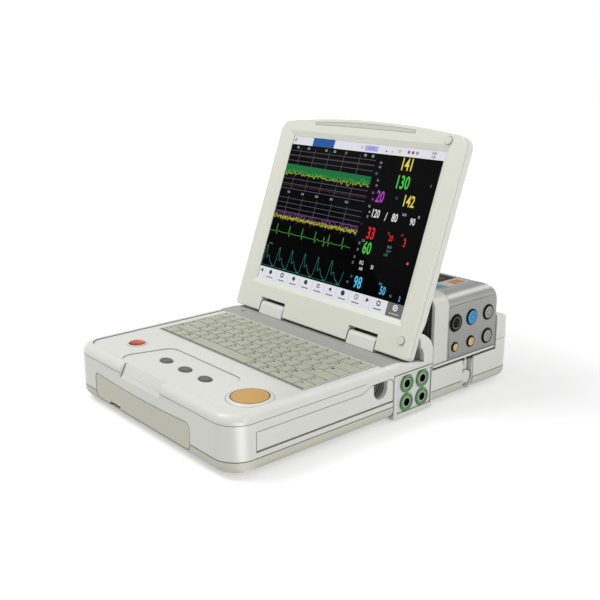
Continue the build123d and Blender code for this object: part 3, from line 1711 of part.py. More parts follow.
# Louvre panel: a dark grille of upright slats in the front of the module
slat_count = 32
slat_width = 1.6
louvre_back = 1.4
louvre_left_x = module_left_x + louvre_margin + fit_gap
louvre_right_x = module_right_x - louvre_margin - fit_gap
louvre_bottom = body_bottom + louvre_bottom_margin + fit_gap
louvre_top = module_top - louvre_top_margin - fit_gap
slat_pitch = (louvre_right_x - louvre_left_x - slat_width) / (slat_count - 1)
with BuildPart() as louvre_panel:
    block(
        (louvre_left_x, module_front_y + louvre_depth - louvre_back, louvre_bottom),
        (louvre_right_x, module_front_y + louvre_depth, louvre_top),
    )
    for index in range(slat_count):
        x = louvre_left_x + index * slat_pitch
        block(
            (x, module_front_y + seam_depth, louvre_bottom),
            (x + slat_width, module_front_y + louvre_depth, louvre_top),
        )
hand_in(louvre_panel, "louvre_panel")

# Module base: a pale plate under the module, with its edge connector
with BuildPart() as module_base:
    block(
        (module_left_x, module_front_y + seam_depth, module_bottom),
        (module_right_x + base_lip, module_rear_y - seam_depth, body_bottom - fit_gap),
    )
    chamfer(module_base.edges().filter_by(Axis.Z).group_by(Axis.X)[-1], base_lip)
    block(
        (bay_left_x - plug_depth + moving_gap, plug_y - plug_width / 2, plug_z),
        (module_left_x, plug_y + plug_width / 2, plug_z + plug_height),
    )
hand_in(module_base, "module_base")

# Connector face: a grey-purple plate let into the module's right side
with BuildPart() as module_face:
    with BuildSketch(side(module_right_x - face_depth)):
        face_outline(0)
        for y, z, radius in all_sockets:
            with Locations((y, z)):
                Circle(radius + fit_gap, mode=Mode.SUBTRACT)
    extrude(amount=face_depth + face_proud)
    chamfer(module_face.faces().sort_by(Axis.X)[-1].outer_wire().edges(), face_proud / 2)
hand_in(module_face, "module_face")


def round_sockets(places):
    """Round sockets through the module's face, each a collar with a deep ring bore round a core."""
    with BuildPart() as sockets:
        for y, z, radius in places:
            rod((module_right_x - socket_depth, y, z), (1, 0, 0), radius, socket_depth + socket_rise)
            with BuildSketch(side(module_right_x + socket_rise)):
                with Locations((y, z)):
                    Circle(radius * socket_bore_share)
                    Circle(radius * socket_core_share, mode=Mode.SUBTRACT)
            extrude(amount=-socket_bore_depth, mode=Mode.SUBTRACT)
            with BuildSketch(side(module_right_x + socket_rise - face_depth)):
                with Locations((y, z)):
                    Circle(radius * socket_bore_share)
            extrude(amount=face_depth, mode=Mode.SUBTRACT)
        rims = sockets.edges().filter_by(GeomType.CIRCLE).group_by(Axis.X)[-1]
        chamfer(rims.sort_by(SortBy.LENGTH)[-len(places):], seam_depth)
    return sockets


for name, places in (
    ("black_socket", [black_socket]),
    ("blue_socket", [blue_socket]),
    ("grey_sockets", grey_sockets),
    ("yellow_sockets", yellow_sockets),
):
    hand_in(round_sockets(places), name)

# Mains inlet: a three-pin appliance inlet in the back
inlet_depth = 24
inlet_flange = 3
inlet_wall = 2.5
inlet_pin_spacing = 7
pin_width = 2
pin_height = 4
with BuildPart() as mains_inlet:
    block(
        (inlet_x - inlet_width / 2, back_y - inlet_depth, inlet_z - inlet_height / 2),
        (inlet_x + inlet_width / 2, back_y - seam_depth, inlet_z + inlet_height / 2),
    )
    block(
        (
            inlet_x - inlet_width / 2 + inlet_wall,
            back_y - inlet_depth + inlet_wall,
            inlet_z - inlet_height / 2 + inlet_wall,
        ),
        (inlet_x + inlet_width / 2 - inlet_wall, back_y, inlet_z + inlet_height / 2 - inlet_wall),
        Mode.SUBTRACT,
    )
    for index in (-1, 0, 1):
        x = inlet_x + index * inlet_pin_spacing
        z = inlet_z + (pin_height / 2 if index == 0 else -pin_height / 2)
        block(
            (x - pin_width / 2, back_y - inlet_depth + inlet_wall, z - pin_height / 2),
            (x + pin_width / 2, back_y - inlet_flange - inlet_wall, z + pin_height / 2),
        )
hand_in(mains_inlet, "mains_inlet")

# Data ports: two shielded sockets in the back
port_depth = 14
port_wall = 1.5
with BuildPart() as data_ports:
    for index in range(port_count):
        x = port_left_x + index * port_pitch
        block(
            (x - port_width / 2, back_y - port_depth, port_z - port_height / 2),
            (x + port_width / 2, back_y - seam_depth, port_z + port_height / 2),
        )
        block(
            (
                x - port_width / 2 + port_wall,
                back_y - port_depth + port_wall,
                port_z - port_height / 2 + port_wall,
            ),
            (x + port_width / 2 - port_wall, back_y, port_z + port_height / 2 - port_wall),
            Mode.SUBTRACT,
        )
hand_in(data_ports, "data_ports")

# Earth stud: the equipotential bonding pin in the back
with BuildPart() as earth_stud:
    rod((stud_x, back_y - wall - overrun, stud_z), (0, 1, 0), stud_radius, wall + overrun - seam_depth)
    rod((stud_x, back_y - wall, stud_z), (0, -1, 0), stud_flange_radius, overrun)
hand_in(earth_stud, "earth_stud")

# Loudspeaker: a round driver behind the slots in the left wall
speaker_depth = 14
speaker_magnet_radius = 10
with BuildPart() as loudspeaker:
    rod((wall - half_width, speaker_y, speaker_z), (1, 0, 0), speaker_radius - stud_radius, overrun)
    rod((wall - half_width, speaker_y, speaker_z), (1, 0, 0), speaker_magnet_radius, speaker_depth)
hand_in(loudspeaker, "loudspeaker")

# Main board: the circuit board of the monitor on four pillars, with its processor and power parts
pillar_radius = 3
main_to_side = 24
main_right_x = -14
main_to_front = 79
main_rear_y = 4
main_left_x = main_to_side - half_width
main_front_y = front_y + main_to_front
main_z = 26
main_thickness = 1.6
chip_size = 28
chip_height = 3
with BuildPart() as main_board:
    block((main_left_x, main_front_y, main_z), (main_right_x, main_rear_y, main_z + main_thickness))
    for x in (main_left_x + pillar_radius, main_right_x - pillar_radius):
        for y in (main_front_y + pillar_radius, main_rear_y - pillar_radius):
            rod((x, y, floor_top), (0, 0, 1), pillar_radius, main_z - floor_top)
    for index in (-1, 1):
        x = (main_left_x + main_right_x) / 2
        y = (main_front_y + main_rear_y) / 2 + index * chip_size
        block(
            (x - chip_size / 2, y - chip_size / 2, main_z + main_thickness),
            (x + chip_size / 2, y + chip_size / 2, main_z + main_thickness + chip_height),
        )
hand_in(main_board, "main_board")

# Power supply and battery, boxed side by side on the pan under the hump
supply_left_x = -66
supply_right_x = -20
supply_front_y = 70
supply_to_back = 31
supply_rear_y = back_y - supply_to_back
supply_height = 42
battery_to_side = 12
battery_to_back = 37
battery_left_x = battery_to_side - half_width
battery_front_y = 66
battery_rear_y = back_y - battery_to_back
battery_height = 30
battery_gap = 3
with BuildPart() as power_supply:
    block(
        (supply_left_x, supply_front_y, floor_top),
        (supply_right_x, supply_rear_y, floor_top + supply_height),
    )
    chamfer(power_supply.edges().filter_by(Axis.Z), wall)
hand_in(power_supply, "power_supply")
with BuildPart() as battery:
    block(
        (battery_left_x, battery_front_y, floor_top),
        (supply_left_x - battery_gap, battery_rear_y, floor_top + battery_height),
    )
    fillet(battery.edges().filter_by(Axis.Z), wall)
hand_in(battery, "battery")
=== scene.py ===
"""Cardiotocograph with a folding display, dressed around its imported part."""
from math import cos, pi, radians, sin

import bpy
import numpy as np
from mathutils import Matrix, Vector


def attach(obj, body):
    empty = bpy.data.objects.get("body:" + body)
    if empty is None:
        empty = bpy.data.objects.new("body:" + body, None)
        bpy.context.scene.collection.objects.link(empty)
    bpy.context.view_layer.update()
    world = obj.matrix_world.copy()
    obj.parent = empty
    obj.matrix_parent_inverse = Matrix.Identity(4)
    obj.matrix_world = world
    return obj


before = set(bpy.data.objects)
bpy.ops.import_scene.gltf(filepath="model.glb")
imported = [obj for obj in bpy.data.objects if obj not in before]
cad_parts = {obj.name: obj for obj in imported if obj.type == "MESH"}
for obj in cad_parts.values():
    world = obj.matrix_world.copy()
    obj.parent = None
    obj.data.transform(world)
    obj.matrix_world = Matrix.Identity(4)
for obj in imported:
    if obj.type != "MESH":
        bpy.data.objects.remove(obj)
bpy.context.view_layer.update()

# Studio: the camera stands to the user's right of the front corner, a little above the lid's middle.
# The object rests on a wide white sheet, under a large lamp at the upper left and weaker ones all round.
camera_data = bpy.data.cameras.new("camera")
camera_data.sensor_width = 36
camera_data.lens = 51.02
camera = bpy.data.objects.new("camera", camera_data)
camera.location = (0.7045, -0.613, 0.3718)
camera.rotation_euler = (radians(90 - 16.0), 0, radians(48.87))
bpy.context.scene.collection.objects.link(camera)
bpy.context.scene.camera = camera
bpy.context.scene.view_settings.view_transform = "Standard"


def linear(red, green, blue):
    """A colour written in 0 to 255 screen steps, as the linear values that a shader takes."""
    steps = np.array([red, green, blue]) / 255
    low, high = steps / 12.92, ((steps + 0.055) / 1.055) ** 2.4
    return (*np.where(steps <= 0.04045, low, high).tolist(), 1.0)


class Wire:
    """One output of a shader node: +, -, * and > on it add the Math nodes that work them out."""

    def __init__(self, finish, socket):
        self.finish, self.socket = finish, socket

    def __add__(self, other):
        return self.finish.node("ShaderNodeMath", {"operation": "ADD"}, {0: self, 1: other})

    def __sub__(self, other):
        return self.finish.node("ShaderNodeMath", {"operation": "SUBTRACT"}, {0: self, 1: other})

    def __rsub__(self, other):
        return self.finish.node("ShaderNodeMath", {"operation": "SUBTRACT"}, {0: other, 1: self})

    def __mul__(self, other):
        return self.finish.node("ShaderNodeMath", {"operation": "MULTIPLY"}, {0: self, 1: other})

    def __gt__(self, other):
        return self.finish.node("ShaderNodeMath", {"operation": "GREATER_THAN"}, {0: self, 1: other})

    __radd__, __rmul__ = __add__, __mul__


class Finish:
    """A shader under construction: a material's, or the world's."""

    def __init__(self, owner):
        self.owner = owner
        owner.use_nodes = True
        self.tree = owner.node_tree
        self.shader = self.tree.nodes.get("Principled BSDF")

    def node(self, kind, settings, sockets, output=0):
        """Adds a node: its settings first, then its sockets' values or wires. Gives one of its outputs."""
        made = self.tree.nodes.new(kind)
        for key, value in settings.items():
            setattr(made, key, value)
        for key, value in sockets.items():
            self.feed(made.inputs[key], value)
        return Wire(self, made.outputs[output])

    def feed(self, socket, value):
        """Gives a socket its wire or its value."""
        if isinstance(value, Wire):
            self.tree.links.new(value.socket, socket)
        else:
            socket.default_value = value

    def principled(self, **sockets):
        """Feeds the main shader's sockets, named with _ for a space."""
        for key, value in sockets.items():
            self.feed(self.shader.inputs[key.replace("_", " ")], value)

    def mix(self, share, first, second):
        """A colour that goes from the first to the second with the share."""
        return self.node("ShaderNodeMix", {"data_type": "RGBA"}, {0: share, 6: first, 7: second}, 2)

    def noise(self, place, scale, detail=2.0):
        """Smooth noise around one half, with that many features to the metre."""
        return self.node("ShaderNodeTexNoise", {}, {"Vector": place, "Scale": scale, "Detail": detail}, "Fac")

    def place(self):
        """The point's place in the part's frame, in metres."""
        return self.node("ShaderNodeTexCoord", {}, {}, "Object")

    def axis(self, place, number):
        """One of a vector's three numbers: 0 for X, 1 for Y and 2 for Z."""
        return self.node("ShaderNodeSeparateXYZ", {}, {0: place}, number)

    def rounded(self, radius):
        """The surface's normal with its edges broken to that radius, in metres."""
        return self.node("ShaderNodeBevel", {"samples": 4}, {"Radius": radius})

    def bump(self, height, depth, strength, normal):
        """A normal bent by a height from 0 to 1 that stands for that depth in metres."""
        return self.node("ShaderNodeBump", {}, {
            "Height": height, "Distance": depth, "Strength": strength, "Normal": normal,
        })


def make_piece(name, points, faces, material):
    """A flat-shaded object at the origin, from points in millimetres and faces as rows of point numbers."""
    mesh = bpy.data.meshes.new(name)
    mesh.from_pydata((np.asarray(points) / 1000).tolist(), [], faces)
    mesh.materials.append(material)
    piece = bpy.data.objects.new(name, mesh)
    bpy.context.scene.collection.objects.link(piece)
    return piece


# The sheet gives a light of its own to the camera and to reflections, which grows with the distance from the
# object from near_reach on, so that the sheet stays white up to the horizon.
sheet_finish = Finish(bpy.data.materials.new("backdrop_white"))
seen = sheet_finish.node("ShaderNodeLightPath", {}, {}, "Is Camera Ray")
mirrored = sheet_finish.node("ShaderNodeLightPath", {}, {}, "Is Glossy Ray")
sheet_place = sheet_finish.place()
reach = sheet_finish.node("ShaderNodeVectorMath", {"operation": "LENGTH"}, {0: sheet_place}, "Value")
near_reach, near_light, far_growth = 0.35, 0.44, 0.8
far = sheet_finish.node("ShaderNodeMath", {"operation": "SUBTRACT", "use_clamp": True}, {
    0: reach, 1: near_reach,
})
# A glow that only reflections see puts the bright band on the front corner. It is a wedge on the sheet that
# opens away from that corner: the way along its middle and the way aside of it are the place from the corner,
# turned by the wedge's own direction.
wedge_turn, wedge_start = radians(-22), (0.112, -0.172)
wedge_opening, wedge_edge, wedge_light = 0.42, 25, 7
sheet_x, sheet_y = (sheet_finish.axis(sheet_place, number) - wedge_start[number] for number in (0, 1))
along = sheet_x * cos(wedge_turn) + sheet_y * sin(wedge_turn)
aside = sheet_finish.node("ShaderNodeMath", {"operation": "ABSOLUTE"}, {
    0: sheet_y * cos(wedge_turn) - sheet_x * sin(wedge_turn),
})
wedge = sheet_finish.node("ShaderNodeMath", {"operation": "MULTIPLY", "use_clamp": True}, {
    0: along * wedge_opening - aside, 1: wedge_edge,
})
lift = (seen + mirrored) * (far * far_growth + near_light) + mirrored * wedge * wedge_light
sheet_finish.principled(
    Base_Color=linear(214, 214, 214), Roughness=1.0, Specular_IOR_Level=0.0, Emission_Strength=1.0,
    Emission_Color=sheet_finish.node("ShaderNodeCombineColor", {}, {0: lift, 1: lift, 2: lift}),
)
sheet_half = 6000
sheet_points = [(x * sheet_half, y * sheet_half, 0) for x, y in ((-1, -1), (1, -1), (1, 1), (-1, 1))]
backdrop = make_piece("backdrop", sheet_points, [[0, 1, 2, 3]], sheet_finish.owner)

sky = Finish(bpy.data.worlds.new("room"))
bpy.context.scene.world = sky.owner
# The sky is white where it is seen, mirrored or looked at through glass, and dimmer as a light on surfaces.
rays = [
    sky.node("ShaderNodeLightPath", {}, {}, kind)
    for kind in ("Is Camera Ray", "Is Glossy Ray", "Is Transmission Ray")
]
soft_sky = sky.node("ShaderNodeBackground", {}, {"Color": (1, 1, 1, 1), "Strength": 0.38})
white_sky = sky.node("ShaderNodeBackground", {}, {"Color": (1, 1, 1, 1), "Strength": 1.0})
room = sky.node("ShaderNodeMixShader", {}, {0: rays[0] + rays[1] + rays[2], 1: soft_sky, 2: white_sky})
sky.feed(sky.tree.nodes["World Output"].inputs["Surface"], room)


def lamp(name, place, target, size, share):
    """A square area lamp that gives a surface facing it that share of full white."""
    data = bpy.data.lights.new(name, "AREA")
    data.size = size
    away = np.array(place) - np.array(target)
    data.energy = share * pi**2 * float(away @ away)
    holder = bpy.data.objects.new(name, data)
    holder.location = place
    holder.rotation_euler = Vector(away).to_track_quat("Z", "Y").to_euler()
    bpy.context.scene.collection.objects.link(holder)


lamp("lamp_above", (-0.7, -0.85, 1.75), (0, 0, 0.1), size=1.0, share=0.54)
lamp("lamp_right", (1.9, -0.1, 0.7), (0.1, 0, 0.1), size=0.5, share=0.28)
lamp("lamp_corner", (1.3, -1.35, 0.45), (0.1, -0.1, 0.1), size=0.35, share=0.07)
lamp("lamp_behind", (0.86, 1.66, 1.2), (0.1, 0.1, 0.1), size=0.8, share=0.14)

# Housing: the white middle frame and top cover, injection-moulded in ABS with a fine spark-eroded texture,
# and the grey-green bottom pan that is screwed to them from below and stands on four rubber feet.


def dress(material, *names):
    """Gives CAD nodes their material."""
    for name in names:
        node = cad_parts[name]
        node.data.materials.clear()
        node.data.materials.append(material)


def darker(colour, share):
    """That share of a linear colour's light."""
    return (*(value * share for value in colour[:3]), 1.0)


fine_grain = 0.00001        # the depth of the finest pits, in metres


def moulded(name, colour, roughness=0.42, grain=0.00002, shade=0.96, edge=0.0004, specular=0.5, size=2600):
    """Moulded plastic: slow cloudiness in the colour, fine pits in the surface and softly broken edges.
    The colour goes from the colour itself to shade times it, and the roughness follows the pits. Seams and
    grooves get painted shade: the colour goes toward an eighth of itself as the open sky over a point
    narrows.
    The pits' depth, grain, and the edges' radius, edge, are in metres, and size is the pits to the metre."""
    finish = Finish(bpy.data.materials.new(name))
    place = finish.place()
    cloud = finish.noise(place, 14, 3.0)
    pits = finish.noise(place, size)
    base = linear(*colour)
    worn, painted_shade_colour = darker(base, shade), darker(base, 1 / 8)
    # Painted shade: where ambient occlusion finds little open sky, in seams, grooves and between parts, the
    # colour darkens toward an eighth of itself.
    open_sky = finish.node("ShaderNodeAmbientOcclusion", {"samples": 6}, {"Distance": 0.0022}, "AO")
    painted_shade_share = (0.92 - open_sky) * 2.2
    finish.principled(
        Base_Color=finish.mix(painted_shade_share, finish.mix(cloud, base, worn), painted_shade_colour),
        Normal=finish.bump(pits, grain, 0.6, finish.rounded(edge)),
        Roughness=pits * 0.12 + (roughness - 0.06), Specular_IOR_Level=specular,
    )
    return finish.owner


shell_white = moulded("shell_white", (226, 227, 220), 0.3, edge=0.0006)
pan_grey = moulded("pan_grey", (206, 207, 191), 0.5, 0.00004)
rubber = moulded("rubber", (50, 50, 48), 0.8, 0.00004, 0.8, specular=0.2)
dress(
    shell_white, "middle_frame", "top_cover", "hinge_blocks", "knob_ring", "drawer_front", "connector_block",
)
dress(pan_grey, "bottom_pan", "front_handle")
dress(rubber, "rubber_feet", "platen_roller")


def metal(name, colour, roughness, streaks, direction):
    """Bare metal: long fine streaks of roughness and bump, stretched along the axis whose share in direction
    is the smallest, and a faint change of colour."""
    finish = Finish(bpy.data.materials.new(name))
    stretched = finish.node("ShaderNodeMapping", {}, {"Vector": finish.place(), "Scale": direction})
    brushed = finish.noise(stretched, streaks, 3.0)
    base = linear(*colour)
    finish.principled(
        Base_Color=finish.mix(brushed, base, darker(base, 0.85)), Roughness=brushed * 0.2 + (roughness - 0.1),
        Metallic=1.0, Normal=finish.bump(brushed, fine_grain, 0.4, finish.rounded(0.0003)),
    )
    return finish.owner


sheet_steel = metal("sheet_steel", (196, 197, 200), 0.36, 900, (1, 0.08, 1))
screw_steel = metal("screw_steel", (178, 178, 176), 0.34, 2500, (1, 1, 0.2))
aluminium = metal("aluminium", (214, 215, 217), 0.36, 1200, (1, 0.06, 1))
brass = metal("brass", (204, 170, 98), 0.32, 1500, (1, 1, 0.3))
dress(screw_steel, "case_screws", "hinge_pins")

# Hinge well: the grey floor between the keyboard and the hump, which slopes down under the lid.
# It is a separate moulding, coloured a darker grey than the cover and dropped into the cover from above.
well_grey = moulded("well_grey", (168, 168, 164), 0.5, 0.00004)
dress(well_grey, "hinge_well")

# Lid: a front bezel and a back shell in cream-white ABS, snapped together round the display, with a strip
# of frosted acrylic in the crown for the alarm light and two soft bumpers that meet the deck when it shuts.
bezel_white = moulded("bezel_white", (228, 229, 217), 0.34, edge=0.0006)
lid_white = moulded("lid_white", (228, 229, 220), 0.34, edge=0.0006)
diffuser = moulded("diffuser", (206, 207, 196), 0.28, fine_grain, 0.93)
bumper = moulded("bumper", (220, 221, 209), 0.6, 0.00002, 0.97)
dress(bezel_white, "lid_bezel")
dress(lid_white, "lid_back")
dress(diffuser, "alarm_light")
dress(bumper, "lid_bumpers")

# Display: a twelve-inch panel behind dark glass, bonded into the bezel.
# What it shows is a picture of flat coloured shapes just in front of the glass, each lit in its own colour.
glass_finish = Finish(bpy.data.materials.new("display_glass"))
smear = glass_finish.noise(glass_finish.place(), 9, 4.0)
glass_finish.principled(
    Base_Color=glass_finish.mix(smear, linear(5, 5, 7), linear(11, 11, 13)), Roughness=smear * 0.1 + 0.12,
    Specular_IOR_Level=0.05,
)
dress(glass_finish.owner, "display_panel")

# The hinge line and the lid's lean at rest; the lit area, the glass front's distance before the plane through
# the hinge line, and the steps between the picture's layers; and a digit's height in a font of size 1.
hinge_y, hinge_z, lean = 28.8, 71.6, radians(20)
active_left, active_top, active_width, active_height = -123.0, 215.5, 246.0, 184.5
glass_front = 1.5
layer_step = 0.025
digit_height = 0.7


def on_lid(x, up, out):
    """Points on the leaning lid: across, up its face from the hinge and out of the face, in millimetres."""
    y = hinge_y + up * sin(lean) - out * cos(lean)
    z = hinge_z + up * cos(lean) + out * sin(lean)
    return np.stack(np.broadcast_arrays(x, y, z), -1)


def digits(text, stroke):
    """Plain digits from the outlines of a font of size 1, with their middle at the origin and made bolder by
    stroke: points in rows of three, and faces."""
    curve = bpy.data.curves.new("digits", "FONT")
    curve.body, curve.resolution_u, curve.offset = text, 2, stroke
    curve.align_x, curve.align_y = "CENTER", "CENTER"
    holder = bpy.data.objects.new("digits", curve)
    mesh = bpy.data.meshes.new_from_object(holder)
    flat = np.zeros(len(mesh.vertices) * 3)
    mesh.vertices.foreach_get("co", flat)
    faces = [list(polygon.vertices) for polygon in mesh.polygons]
    bpy.data.objects.remove(holder)
    bpy.data.curves.remove(curve)
    bpy.data.meshes.remove(mesh)
    return flat.reshape(-1, 3), faces


def joined(shapes):
    """The points and faces of several shapes as one list of points and one of faces."""
    faces, count = [], 0
    for found, found_faces in shapes:
        faces += [[count + number for number in face] for face in found_faces]
        count += len(found)
    return np.concatenate([found for found, _ in shapes]), faces


def tinted_piece(name, shapes, tints, material):
    """One piece from several shapes, with every point's colour in the attribute named tint."""
    piece = make_piece(name, *joined(shapes), material)
    attribute = piece.data.attributes.new("tint", "FLOAT_COLOR", "POINT")
    attribute.data.foreach_set("color", np.concatenate(tints).ravel())
    return piece


def grid_faces(rows, columns):
    """The quads between the points of a grid that are numbered row by row."""
    numbers = np.arange(rows * columns).reshape(rows, columns)
    corners = [numbers[:-1, :-1], numbers[:-1, 1:], numbers[1:, 1:], numbers[1:, :-1]]
    return np.stack(corners, -1).reshape(-1, 4)


class Picture:
    """Collects flat coloured shapes; across and down run from 0 to 1 over the display's lit area."""

    def __init__(self):
        self.shapes, self.tints = [], []

    def add(self, x, y, faces, colour, layer):
        """Shapes whose points are in millimetres right of and below the lit area's top left corner."""
        points = on_lid(active_left + x, active_top - y, glass_front + layer * layer_step)
        self.shapes.append((points, faces))
        self.tints.append(np.tile(linear(*colour), (len(x), 1)))

    def patch(self, left, top, right, bottom, colour, layer=1):
        """A rectangle, as the four corners of its two spans."""
        x = np.array([left, left, right, right]) * active_width
        y = np.array([top, bottom, bottom, top]) * active_height
        self.add(x, y, [(0, 1, 2, 3)], colour, layer)

    def ribbon(self, across, down, width, colour, layer=2):
        """A line of even width in millimetres: each point is moved half of it to both sides, square to the
        line's run there, which is the difference of its neighbours."""
        path = np.stack([np.asarray(across) * active_width, np.asarray(down) * active_height], -1)
        run = np.gradient(path, axis=0)
        run /= np.linalg.norm(run, axis=1, keepdims=True) + 1e-9
        square = np.stack([-run[:, 1], run[:, 0]], -1) * width / 2
        both = np.concatenate([path - square, path + square])
        faces = grid_faces(2, len(path))[:, ::-1]
        self.add(both[:, 0], both[:, 1], faces.tolist(), colour, layer)

    def numerals(self, text, across, down, height, colour, squeeze=0.66, layer=3):
        """Digits narrowed by squeeze, with their middle at the place; height is a share of the lit area's."""
        flat, faces = digits(text, 0.018)
        flat = flat * height * active_height / digit_height
        x = across * active_width + flat[:, 0] * squeeze
        self.add(x, down * active_height - flat[:, 1], faces, colour, layer)

    def disc(self, across, down, radius, colour, layer=3, corners=16, turn=0.0, hollow=0.0):
        """A regular shape with that many corners, or a ring where hollow is the inner share of its radius."""
        angle = turn + np.linspace(0, 2 * pi, corners, endpoint=False)
        x = across * active_width + radius * np.sin(angle)
        y = down * active_height - radius * np.cos(angle)
        if not hollow:
            self.add(x, y, [list(range(corners))[::-1]], colour, layer)
            return
        middle_x, middle_y = across * active_width, down * active_height
        x = np.concatenate([x, middle_x + (x - middle_x) * hollow])
        y = np.concatenate([y, middle_y + (y - middle_y) * hollow])
        step = np.arange(corners)
        after = (step + 1) % corners
        faces = np.stack([after, step, step + corners, after + corners], -1)
        self.add(x, y, faces.tolist(), colour, layer)


pale, dark_mark, grid_grey = (226, 226, 234), (60, 60, 68), (104, 100, 116)
white, yellow, green, cyan = (228, 228, 228), (222, 212, 84), (76, 200, 70), (84, 190, 232)
red, purple, teal = (222, 44, 48), (176, 70, 186), (54, 144, 128)
traces_end = 0.605
chance = np.random.RandomState(7)
picture = Picture()
picture.patch(0, 0, 1, 1, (4, 4, 6), 0)

# The title bar: pale, with a blue field, small marks and the time of day.
picture.patch(0, 0, 1, 0.055, pale)
picture.patch(0.15, 0, 0.305, 0.055, (44, 92, 160), 2)
picture.disc(0.018, 0.024, 2.6, dark_mark, corners=4)
picture.disc(0.018, 0.024, 1.2, pale, 4, corners=12)
picture.ribbon([0.49, 0.50], [0.036, 0.018], 0.8, dark_mark)
picture.patch(0.515, 0.012, 0.60, 0.046, (170, 174, 226), 2)
picture.numerals("07 - 12", 0.557, 0.028, 0.018, (72, 78, 190))
for place, tone in ((0.655, dark_mark), (0.69, (200, 150, 150))):
    picture.disc(place, 0.036, 1.6, tone, corners=3)
picture.disc(0.735, 0.027, 2.4, (206, 186, 120), corners=5)
for place, tone in ((0.79, (96, 110, 190)), (0.815, (190, 70, 60)), (0.84, (150, 150, 160))):
    picture.disc(place, 0.027, 2.2, tone, corners=6)
picture.numerals("10:24", 0.935, 0.018, 0.017, dark_mark)
picture.numerals("12:06", 0.935, 0.04, 0.015, dark_mark)

# The chart: grey grids with a green band and its two heart-rate traces, and the activity traces below.
for line in (0.098, 0.132, 0.166, 0.292, 0.326, 0.36, 0.425, 0.458, 0.49, 0.52):
    picture.ribbon([0.0, traces_end], [line, line + 0.002], 0.45, grid_grey, 1)
for line in (0.10, 0.31):
    picture.ribbon([0.0, traces_end], [line + 0.028, line + 0.028], 0.35, (112, 64, 74), 1)
for column in np.arange(0.075, traces_end, 0.106):
    picture.ribbon([column, column], [0.075, 0.36], 0.45, grid_grey, 1)
    picture.ribbon([column, column], [0.41, 0.59], 0.45, grid_grey, 1)
    picture.numerals(f"{round(10 + column * 47)}:20", column - 0.01, 0.385, 0.014, (176, 176, 180))
for column, tone in (
    (0.05, white), (0.13, white), (0.26, yellow), (0.32, white), (0.40, (208, 160, 70)), (0.53, white),
    (0.58, white),
):
    picture.numerals("12:2", column, 0.075, 0.014, tone)
count = 150
share = np.linspace(0, traces_end, count)
fall = 0.004 + 0.012 * share / traces_end
band = np.concatenate([np.stack([share, 0.188 + fall], -1), np.stack([share, 0.238 + fall], -1)])
band_faces = grid_faces(2, count)[:, ::-1].tolist()
picture.add(band[:, 0] * active_width, band[:, 1] * active_height, band_faces, (34, 112, 62), 2)
for tone, low, sway in (
    ((60, 190, 70), 0.234, 0.012), ((90, 206, 60), 0.240, 0.022), ((206, 210, 60), 0.250, 0.016),
):
    walk = np.convolve(chance.uniform(-1, 1, count + 4), np.ones(3) / 2, "same")[:count]
    picture.ribbon(share, low + fall * 0.8 + sway * walk, 0.6, tone)
picture.ribbon(share, 0.516 + 0.020 * np.abs(chance.normal(0, 0.6, count)), 0.5, (132, 80, 150))
picture.ribbon(share, 0.540 + 0.018 * chance.normal(0, 0.5, count), 0.5, (112, 66, 128))
picture.ribbon(share, 0.556 + 0.017 * chance.uniform(-1, 1, count), 0.6, (206, 206, 60))
picture.ribbon(share, 0.562 + 0.014 * chance.uniform(-1, 1, count), 0.6, (222, 216, 70))

# The two lower traces: an electrocardiogram's narrow spikes, and the rounded waves of a pulse.
share = np.linspace(0, 0.59, 600)
beat = 0.0965


def bell(phase, centre, width):
    """A smooth bump in a beat: e to minus the square of the distance from its centre over its width."""
    return np.exp(-(((phase - centre) / width) ** 2))


phase = (share / beat + 0.2) % 1
spike = 0.055 * bell(phase, 0.72, 0.022) - 0.022 * bell(phase, 0.77, 0.02) + 0.008 * bell(phase, 0.95, 0.05)
extra = 0.034 * bell(share, 0.405, 0.003) - 0.034 * bell(share, 0.41, 0.003)
picture.ribbon(share, 0.662 - spike - extra, 0.45, (76, 178, 76))
phase = (share / beat + 0.18) % 1
wave = 0.135 * bell(phase, 0.36, 0.10) + 0.062 * bell(phase, 0.62, 0.14) + 0.02 * bell(phase, 0.85, 0.2)
picture.ribbon(share, 0.902 - wave, 0.5, teal)
picture.ribbon(share, 0.899 - wave * 0.94, 0.4, (44, 110, 120))
picture.ribbon([0, 0.59], [0.905, 0.905], 0.5, (40, 120, 96))
picture.ribbon([0.02, 0.05], [0.752, 0.752], 0.9, (60, 150, 70))

# The numbers at the right, each in its channel's colour, with small scale values beside them.
for text, across, down, height, tone in (
    ("141", 0.80, 0.105, 0.075, yellow), ("130", 0.80, 0.215, 0.08, green),
    ("20", 0.69, 0.32, 0.072, purple), ("142", 0.864, 0.32, 0.068, yellow),
    ("120", 0.69, 0.425, 0.05, white), ("/", 0.757, 0.432, 0.05, white), ("80", 0.81, 0.43, 0.05, white),
    ("90", 0.917, 0.434, 0.042, white), ("33", 0.694, 0.55, 0.072, red), ("20", 0.82, 0.553, 0.036, red),
    ("3", 0.905, 0.565, 0.045, red), ("60", 0.694, 0.643, 0.075, green), ("98", 0.694, 0.86, 0.072, cyan),
    ("50", 0.853, 0.868, 0.05, cyan), ("2", 0.96, 0.888, 0.03, cyan), ("012", 0.685, 0.735, 0.024, white),
    ("30", 0.755, 0.747, 0.024, white), ("0.00", 0.69, 0.772, 0.018, white),
):
    picture.numerals(text, across, down, height, tone, 0.66)
